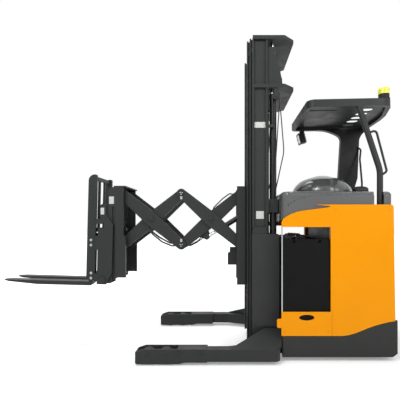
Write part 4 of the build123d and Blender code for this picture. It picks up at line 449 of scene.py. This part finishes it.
mast_plates = ((RAIL_MIDDLE, 2.080, 0.100, 0.052), (RAIL_MIDDLE, 1.262, 0.070, 0.070))
blank_plates("blank_plates_mast", "truck", WEB_OUT, mast_plates)

# Screwed cover over the channel of the mast's left rail
RAIL_OUT = 0.382  # outer faces of the rail's flanges
RAIL_COVER_Z = 1.094
RAIL_COVER_SIZE = (0.132, 0.118)
RAIL_COVER_THICKNESS = 0.006
RAIL_COVER_CORNER = 0.003
RAIL_COVER_SCREWS = (-0.009, -0.127)  # stations
SCREW_RISE = 0.049  # from the cover's middle
mesh = bmesh.new()
rail_cover_at = (ahead(RAIL_MIDDLE), RAIL_OUT, RAIL_COVER_Z)
plate(mesh, rail_cover_at, LEFTWARD, *RAIL_COVER_SIZE, RAIL_COVER_THICKNESS, RAIL_COVER_CORNER)
for u in RAIL_COVER_SCREWS:
    for rise in (SCREW_RISE, -SCREW_RISE):
        spot = (ahead(u), RAIL_OUT + RAIL_COVER_THICKNESS, RAIL_COVER_Z + rise)
        bolt(mesh, spot, LEFTWARD, 0.007)
piece("rail_cover_left", mesh, frame_grey, "truck")

blank_plates("blank_plate_fork_frame", "fork_frame", FORK_FRAME_OUT, ((1.324, 1.404, 0.046, 0.070),))
blank_plates("blank_plate_fork_carriage", "fork_carriage", FORK_CARRIAGE_OUT, ((1.402, 1.300, 0.034, 0.064),))

# Ends of the load wheels' axles, each with a locking plate, and rings on the legs
AXLE_END = [(0, 0.021), (0.002, 0.021), (0.0035, 0.019), (0.0035, 0.008), (0.002, 0.006)]
LOCK_RISE = 0.031
RING = [(0, 0.027), (0.004, 0.027), (0.005, 0.025), (0.005, 0.014), (0.001, 0.013)]
RING_OUT = LEG_OUT - 0.001
RING_Z = 0.092
RING_STATIONS = (0.455, 0.630)
load_wheels = sorted(name for name in nodes if name.startswith("load_wheel_"))
mesh = bmesh.new()
for name in load_wheels:
    low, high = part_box(name)
    centre = middle_of(low, high)
    side = 1 if centre.y > 0 else -1
    centre.y = side * LEG_OUT
    lathe(mesh, AXLE_END, centre, (0, side, 0))
    plate(mesh, centre + Vector((0, 0, LOCK_RISE)), (0, side, 0), 0.03, 0.012, 0.004, 0.002)
piece("leg_axle_ends", mesh, frame_grey, "truck")
mesh = bmesh.new()
for side in SIDES:
    for u in RING_STATIONS:
        lathe(mesh, RING, (ahead(u), side * RING_OUT, RING_Z), (0, side, 0))
piece("leg_lift_rings", mesh, frame_grey, "truck")

# Hubs of the load wheels, outside and inside, and of the drive wheel on the left
LOAD_HUB = [
    (-0.004, 0.040),
    (0.0012, 0.040),
    (0.0018, 0.038),
    (0.0008, 0.030),
    (0.0008, 0.024),
    (0.002, 0.022),
]
DRIVE_HUB = [(0, 0.100), (0.002, 0.100), (0.003, 0.097), (0.0015, 0.060), (0.003, 0.050)]
DRIVE_HUB_RECESS = 0.007
DRIVE_BOLT_CIRCLE = 0.076
DRIVE_BOLT_SEAT = 0.0016
DRIVE_BOLTS = 5
for name in load_wheels:
    low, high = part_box(name)
    centre = middle_of(low, high)
    mesh = bmesh.new()
    for y, side in ((high[1], 1), (low[1], -1)):
        lathe(mesh, LOAD_HUB, (centre.x, y, centre.z), (0, side, 0), 32)
    piece(name.replace("load_wheel", "hub"), mesh, zinc, name)
low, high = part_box("drive_wheel")
centre = middle_of(low, high)
centre.y = high[1] - DRIVE_HUB_RECESS
mesh = bmesh.new()
lathe(mesh, DRIVE_HUB, centre, LEFTWARD, 40)
for n in range(DRIVE_BOLTS):
    angle = 2 * pi * n / DRIVE_BOLTS
    spot = Vector((DRIVE_BOLT_CIRCLE * cos(angle), DRIVE_BOLT_SEAT, DRIVE_BOLT_CIRCLE * sin(angle)))
    bolt(mesh, centre + spot, LEFTWARD, 0.010)
piece("drive_wheel_hub", mesh, zinc, "drive_wheel")

# Chain anchors standing on the mast's lower cross plate: stud, two nuts and a clevis
ANCHOR_AT = (-0.262, 0.250, 2.446)  # station, distance from the middle plane and height
ANCHOR_STUD = [(0, 0.008), (0.120, 0.008), (0.122, 0.007)]
ANCHOR_NUT = [(0, 0.015), (0.013, 0.015), (0.014, 0.0135)]
NUT_PITCH = 0.016
CLEVIS_OFFSET = Vector((-0.008, 0, 0.132))
mesh = bmesh.new()
for side in SIDES:
    foot = Vector((ahead(ANCHOR_AT[0]), side * ANCHOR_AT[1], ANCHOR_AT[2]))
    lathe(mesh, ANCHOR_STUD, foot, UPWARD, 16)
    for n in range(2):
        lathe(mesh, ANCHOR_NUT, foot + Vector((0, 0, n * NUT_PITCH)), UPWARD, 6)
    plate(mesh, foot + CLEVIS_OFFSET, FORWARD, 0.026, 0.050, 0.016, 0.008)
piece("chain_anchors", mesh, zinc, "truck")

# Gland nuts where the rods leave the lift cylinders
GLAND_AT = (-0.194, 0.300, 2.372)  # station, distance from the middle plane and height
GLAND = [(0, 0.034), (0.014, 0.034), (0.017, 0.030), (0.017, 0.0235)]
mesh = bmesh.new()
for side in SIDES:
    lathe(mesh, GLAND, (ahead(GLAND_AT[0]), side * GLAND_AT[1], GLAND_AT[2]), UPWARD, 36)
piece("lift_glands", mesh, zinc, "truck")

# Ribs of the beacon's lens, which leans with the overhead guard
GUARD_SLOPE = radians(1.2)
BEACON_RIBS = 5
RIB_PITCH = 0.008
RIB = [(0, 0.0492), (0.001, 0.0512), (0.003, 0.0512), (0.004, 0.0492)]
LENS_SEAT = 0.004  # over the foot of the lens
FIRST_RIB = 0.008  # over the seat
low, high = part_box("beacon_lens")
beacon_seat = middle_of(low, high)
beacon_seat.z = low[2] + LENS_SEAT
beacon_up = (-sin(GUARD_SLOPE), 0, cos(GUARD_SLOPE))
mesh = bmesh.new()
for n in range(BEACON_RIBS):
    level = FIRST_RIB + n * RIB_PITCH
    lathe(mesh, [(level + z, r) for z, r in RIB], beacon_seat, beacon_up, 40)
piece("beacon_ribs", mesh, lens_material, "truck")

# Work lamp: glass, six lights on it and the bracket's screws
LAMP_TURN = radians(14)
LAMP_AT = (-0.596, -0.365, 2.122)  # station, Y and height
LAMP_FACE_AHEAD = 0.032
LAMP_GLASS_THICKNESS = 0.003
LIGHT = [(0, 0.012), (0.0015, 0.010), (0.0022, 0.004)]
LIGHT_ROW, LIGHT_COLUMN = 0.022, 0.030
BRACKET_FACE = -0.574  # station
BRACKET_SCREW_Z = 2.196
BRACKET_SCREWS_Y = (-0.385, -0.345)
lamp_axis = Vector((cos(LAMP_TURN), 0, -sin(LAMP_TURN)))
lamp_down = Vector((-sin(LAMP_TURN), 0, -cos(LAMP_TURN)))
lamp_face = Vector((ahead(LAMP_AT[0]), LAMP_AT[1], LAMP_AT[2])) + lamp_axis * LAMP_FACE_AHEAD
mesh = bmesh.new()
plate(mesh, lamp_face, lamp_axis, 0.096, 0.092, LAMP_GLASS_THICKNESS, 0.006)
piece("lamp_glass", mesh, lamp_glass, "truck")
mesh = bmesh.new()
glass_face = lamp_face + lamp_axis * LAMP_GLASS_THICKNESS
for row in (-1, 1):
    for column in (-1, 0, 1):
        spot = glass_face + lamp_down * (row * LIGHT_ROW) + Vector((0, column * LIGHT_COLUMN, 0))
        lathe(mesh, LIGHT, spot, lamp_axis, 20)
piece("lamp_lights", mesh, chrome, "truck")
mesh = bmesh.new()
for y in BRACKET_SCREWS_Y:
    bolt(mesh, (ahead(BRACKET_FACE), y, BRACKET_SCREW_Z), FORWARD, 0.004)
piece("lamp_screws", mesh, zinc, "truck")

# Console: a raised panel with a bare display and keys, the stop button and the key switch
CONSOLE_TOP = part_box("console")[1][2]
CONSOLE_PANEL_Y = 0.241
CONSOLE_PANEL_THICKNESS = 0.010
CONSOLE_PANEL_FACE = CONSOLE_TOP + CONSOLE_PANEL_THICKNESS
CONSOLE_PANEL_MIDDLE = -0.826  # this and the next four are stations
DISPLAY_MIDDLE = -0.810
KEY_ROW = -0.846
STOP_BUTTON_MIDDLE = -0.800
KEY_LOCK_MIDDLE = -0.885
KEYS, KEY_PITCH, FIRST_KEY_Y = 4, 0.020, 0.211
BUTTONS_Y = 0.424
STOP_BUTTON = [(0, 0.012), (0.016, 0.012), (0.017, 0.022), (0.024, 0.023), (0.030, 0.018), (0.031, 0.004)]
KEY_LOCK = [(0, 0.013), (0.004, 0.013), (0.005, 0.011)]
mesh = bmesh.new()
panel_at = (ahead(CONSOLE_PANEL_MIDDLE), CONSOLE_PANEL_Y, CONSOLE_TOP)
plate(mesh, panel_at, UPWARD, 0.074, 0.096, CONSOLE_PANEL_THICKNESS, 0.006)
piece("console_panel", mesh, black_plastic, "truck")
mesh = bmesh.new()
display_at = (ahead(DISPLAY_MIDDLE), CONSOLE_PANEL_Y, CONSOLE_PANEL_FACE)
plate(mesh, display_at, UPWARD, 0.030, 0.070, 0.0015, 0.003)
piece("console_display", mesh, display_glass, "truck")
mesh = bmesh.new()
for n in range(KEYS):
    spot = (ahead(KEY_ROW), FIRST_KEY_Y + n * KEY_PITCH, CONSOLE_PANEL_FACE)
    plate(mesh, spot, UPWARD, 0.014, 0.014, 0.003, 0.003)
piece("console_keys", mesh, cover_grey, "truck")
mesh = bmesh.new()
lathe(mesh, STOP_BUTTON, (ahead(STOP_BUTTON_MIDDLE), BUTTONS_Y, CONSOLE_TOP), UPWARD, 32)
piece("stop_button", mesh, stop_red, "truck")
mesh = bmesh.new()
lock_at = Vector((ahead(KEY_LOCK_MIDDLE), BUTTONS_Y, CONSOLE_TOP))
lathe(mesh, KEY_LOCK, lock_at, UPWARD, 28)
plate(mesh, lock_at + Vector((0, 0, KEY_LOCK[-1][0])), UPWARD, 0.003, 0.016, 0.018, 0.001)
piece("key_switch", mesh, zinc, "truck")

# Ribs of the rubber mat
MAT_RIBS = 26
MAT_MARGIN = 0.02
RIB_WIDTH, RIB_HEIGHT, RIB_CORNER = 0.006, 0.0025, 0.002
mat_low, mat_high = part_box("floor_mat")
rib_pitch = (mat_high[0] - mat_low[0] - 2 * MAT_MARGIN) / (MAT_RIBS - 1)
rib_length = mat_high[1] - mat_low[1] - MAT_MARGIN
mesh = bmesh.new()
for n in range(MAT_RIBS):
    spot = (mat_low[0] + MAT_MARGIN + n * rib_pitch, (mat_low[1] + mat_high[1]) / 2, mat_high[2])
    plate(mesh, spot, UPWARD, RIB_WIDTH, rib_length, RIB_HEIGHT, RIB_CORNER)
piece("mat_ribs", mesh, mat_rubber, "truck")

# Rear door: louvres, latch and hinges
LOUVRES, LOUVRE_PITCH, FIRST_LOUVRE_Z = 7, 0.026, 0.56
LOUVRE_FROM_MIDDLE = 0.10
LATCH_FROM_EDGE, LATCH_Z = 0.07, 0.98
LATCH_LOCK = [(0.004, 0.012), (0.008, 0.012), (0.009, 0.010)]
LATCH_LOCK_Z = 1.005
HINGE = [(0, 0.007), (0.08, 0.007)]
HINGE_HEIGHTS = (0.55, 1.20)
HINGE_PROUD, HINGE_FROM_EDGE = 0.004, 0.012
door_low, door_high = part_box("rear_door")
door_rear, door_right, door_left = door_low[0], door_low[1], door_high[1]
mesh = bmesh.new()
for column in (-1, 1):
    for n in range(LOUVRES):
        y = (door_right + door_left) / 2 + column * LOUVRE_FROM_MIDDLE
        spot = (door_rear, y, FIRST_LOUVRE_Z + n * LOUVRE_PITCH)
        plate(mesh, spot, REARWARD, 0.012, 0.15, 0.006, 0.005)
piece("door_louvres", mesh, panel_orange, "truck")
mesh = bmesh.new()
plate(mesh, (door_rear, door_left - LATCH_FROM_EDGE, LATCH_Z), REARWARD, 0.095, 0.045, 0.004, 0.008)
lathe(mesh, LATCH_LOCK, (door_rear, door_left - LATCH_FROM_EDGE, LATCH_LOCK_Z), REARWARD)
piece("door_latch", mesh, black_plastic, "truck")
mesh = bmesh.new()
for z in HINGE_HEIGHTS:
    lathe(mesh, HINGE, (door_rear - HINGE_PROUD, door_right + HINGE_FROM_EDGE, z), UPWARD, 18)
piece("door_hinges", mesh, zinc, "truck")

# Screws of the side panels, at (station, height)
PANEL_SCREWS = (
    (-0.700, 0.360),
    (-1.150, 0.430),
    (-1.165, 1.300),
    (-0.700, 1.300),
    (-0.262, 0.262),
    (-0.640, 0.262),
)
PANEL_SCREW = 0.0065
mesh = bmesh.new()
for side in SIDES:
    for u, z in PANEL_SCREWS:
        socket_screw(mesh, (ahead(u), side * PANEL_OUT, z), (0, side, 0), PANEL_SCREW)
piece("panel_screws", mesh, panel_orange, "truck")

# Padded rests of moulded foam with a stitched rim
CUSHION_CUTS = 22
CUSHION_CORNER = 0.55  # share of the least half width
SEAM_AT = 0.78  # share of the half width where the seam runs
SEAM_WIDTH = 0.05
SEAM_DEPTH = 0.003
SIDE_BULGE = 0.02
CUSHION_SMOOTH_BELOW = 60


def cushion(name, node, crown, faced):
    """Crowned pad with a rounded edge and a seam, filling a node's box; faced is the crowned side's axis."""
    low, high = (Vector(corner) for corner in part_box(node))
    centre, half = (low + high) / 2, (high - low) / 2
    axes = [n for n in range(3) if n != faced]
    mesh = bmesh.new()
    bmesh.ops.create_cube(mesh, size=2.0)
    bmesh.ops.subdivide_edges(mesh, edges=mesh.edges[:], cuts=CUSHION_CUTS, use_grid_fill=True)
    corner = min(half) * CUSHION_CORNER
    for vert in mesh.verts:
        point = Vector([vert.co[n] * half[n] for n in range(3)])
        core = Vector([max(-(half[n] - corner), min(half[n] - corner, point[n])) for n in range(3)])
        away = point - core
        if away.length > 0:
            point = core + away.normalized() * corner
        a, b = (point[n] / half[n] for n in axes)
        swell = max(0.0, 1 - a * a) * max(0.0, 1 - b * b)
        point[faced] -= crown * (1 - swell) * (1 if point[faced] > 0 else 0)
        from_seam = abs(max(abs(a), abs(b)) - SEAM_AT)
        if point[faced] > 0 and from_seam < SEAM_WIDTH:
            point[faced] -= SEAM_DEPTH * (1 - from_seam / SEAM_WIDTH)
        for n in axes:
            point[n] *= 1 - SIDE_BULGE * (1 - (point[faced] / half[faced]) ** 2)
        vert.co = centre + point
    pad = piece(name, mesh, vinyl, "truck", CUSHION_SMOOTH_BELOW)
    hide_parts(node)


cushion("back_cushion", "back_pad", 0.010, 1)
cushion("side_cushion", "side_rest", 0.012, 2)


# Floor, light and camera
def seen_or_light(tree, seen_strength, light_strength, socket):
    """One strength, or a socket's, to the camera, in gloss and through glass, and another as light."""
    path = tree.nodes.new("ShaderNodeLightPath")
    seen = path.outputs["Is Camera Ray"]
    for name in ("Is Glossy Ray", "Is Transmission Ray"):
        either = tree.nodes.new("ShaderNodeMath")
        either.operation = "MAXIMUM"
        tree.links.new(seen, either.inputs[0])
        tree.links.new(path.outputs[name], either.inputs[1])
        seen = either.outputs[0]
    blend = tree.nodes.new("ShaderNodeMapRange")
    blend.inputs["To Min"].default_value = light_strength
    if isinstance(seen_strength, bpy.types.NodeSocket):
        tree.links.new(seen_strength, blend.inputs["To Max"])
    else:
        blend.inputs["To Max"].default_value = seen_strength
    tree.links.new(seen, blend.inputs["Value"])
    tree.links.new(blend.outputs["Result"], socket)


floor_material, floor_tree, floor_shader = graph("floor")
floor_tint = ramp(floor_tree, noise(floor_tree, 0.6), [(0.3, grey(0.93)), (0.7, grey(0.96))])
floor_tree.links.new(floor_tint, floor_shader.inputs["Base Color"])
floor_shader.inputs["Roughness"].default_value = 0.8
floor_shader.inputs["Specular IOR Level"].default_value = 0.0
floor_shader.inputs["Emission Color"].default_value = (1, 1, 1, 1)
FLOOR_GLOW = 0.28  # lifts the lit floor near the truck to white, so that only the object's shadow shows
GLOW_NEAR, GLOW_FAR = 2.2, 5.0  # between these distances it rises to 1, where the lights no longer reach
floor_place = floor_tree.nodes.new("ShaderNodeNewGeometry")
floor_distance = floor_tree.nodes.new("ShaderNodeVectorMath")
floor_distance.operation = "LENGTH"
floor_tree.links.new(floor_place.outputs["Position"], floor_distance.inputs[0])
floor_glow = floor_tree.nodes.new("ShaderNodeMapRange")
floor_glow.inputs["From Min"].default_value = GLOW_NEAR
floor_glow.inputs["From Max"].default_value = GLOW_FAR
floor_glow.inputs["To Min"].default_value = FLOOR_GLOW
floor_glow.inputs["To Max"].default_value = 1.0
floor_tree.links.new(floor_distance.outputs["Value"], floor_glow.inputs["Value"])
seen_or_light(floor_tree, floor_glow.outputs["Result"], 0.0, floor_shader.inputs["Emission Strength"])

bpy.ops.mesh.primitive_plane_add(size=60, location=(0, 0, 0))
floor = bpy.context.object
floor.name = "floor"
floor.data.materials.append(floor_material)

WORLD_LIGHT = 0.36
world = bpy.data.worlds.new("studio")
world.use_nodes = True
world.node_tree.nodes["Background"].inputs["Color"].default_value = (1, 1, 1, 1)
seen_or_light(world.node_tree, 1.0, WORLD_LIGHT, world.node_tree.nodes["Background"].inputs["Strength"])
bpy.context.scene.world = world
bpy.context.scene.view_settings.view_transform = "Standard"


def area_light(name, place, target, size, watts):
    """Soft box aimed at a point."""
    data = bpy.data.lights.new(name, "AREA")
    data.shape = "RECTANGLE"
    data.size, data.size_y = size
    data.energy = watts
    lamp = bpy.data.objects.new(name, data)
    lamp.location = place
    aim = Vector(target) - Vector(place)
    lamp.rotation_euler = aim.to_track_quat("-Z", "Y").to_euler()
    bpy.context.collection.objects.link(lamp)
    return lamp


area_light("key", (2.5, 5.0, 5.0), (0, 0, 1.2), (3.0, 3.0), 150)
area_light("fill", (-4.0, 4.0, 3.0), (0, 0, 1.2), (3.0, 2.0), 60)
area_light("top", (0.0, -1.0, 6.0), (0, 0, 1.0), (4.0, 3.0), 190)
area_light("strip_front", (0.6, 2.6, 3.4), (-1.2, 0.2, 1.3), (0.25, 2.4), 26)
area_light("strip_rear", (-2.6, 2.4, 3.2), (-1.3, 0.2, 1.3), (0.25, 2.4), 22)

camera_data = bpy.data.cameras.new("camera")
camera_data.lens = SENSOR_WIDTH * FOCAL_LENGTH_PX / PICTURE_WIDTH_PX
camera_data.sensor_width = SENSOR_WIDTH
camera_data.shift_x = (PICTURE_WIDTH_PX / 2 - PRINCIPAL_POINT_PX[0]) / PICTURE_WIDTH_PX
camera_data.shift_y = (PRINCIPAL_POINT_PX[1] - PICTURE_WIDTH_PX / 2) / PICTURE_WIDTH_PX
camera = bpy.data.objects.new("camera", camera_data)
camera.location = (ahead(CAMERA_AHEAD_OF_MAST), CAMERA_DISTANCE, CAMERA_HEIGHT)
camera.rotation_euler = (radians(90), 0, radians(180))
bpy.context.collection.objects.link(camera)
bpy.context.scene.camera = camera
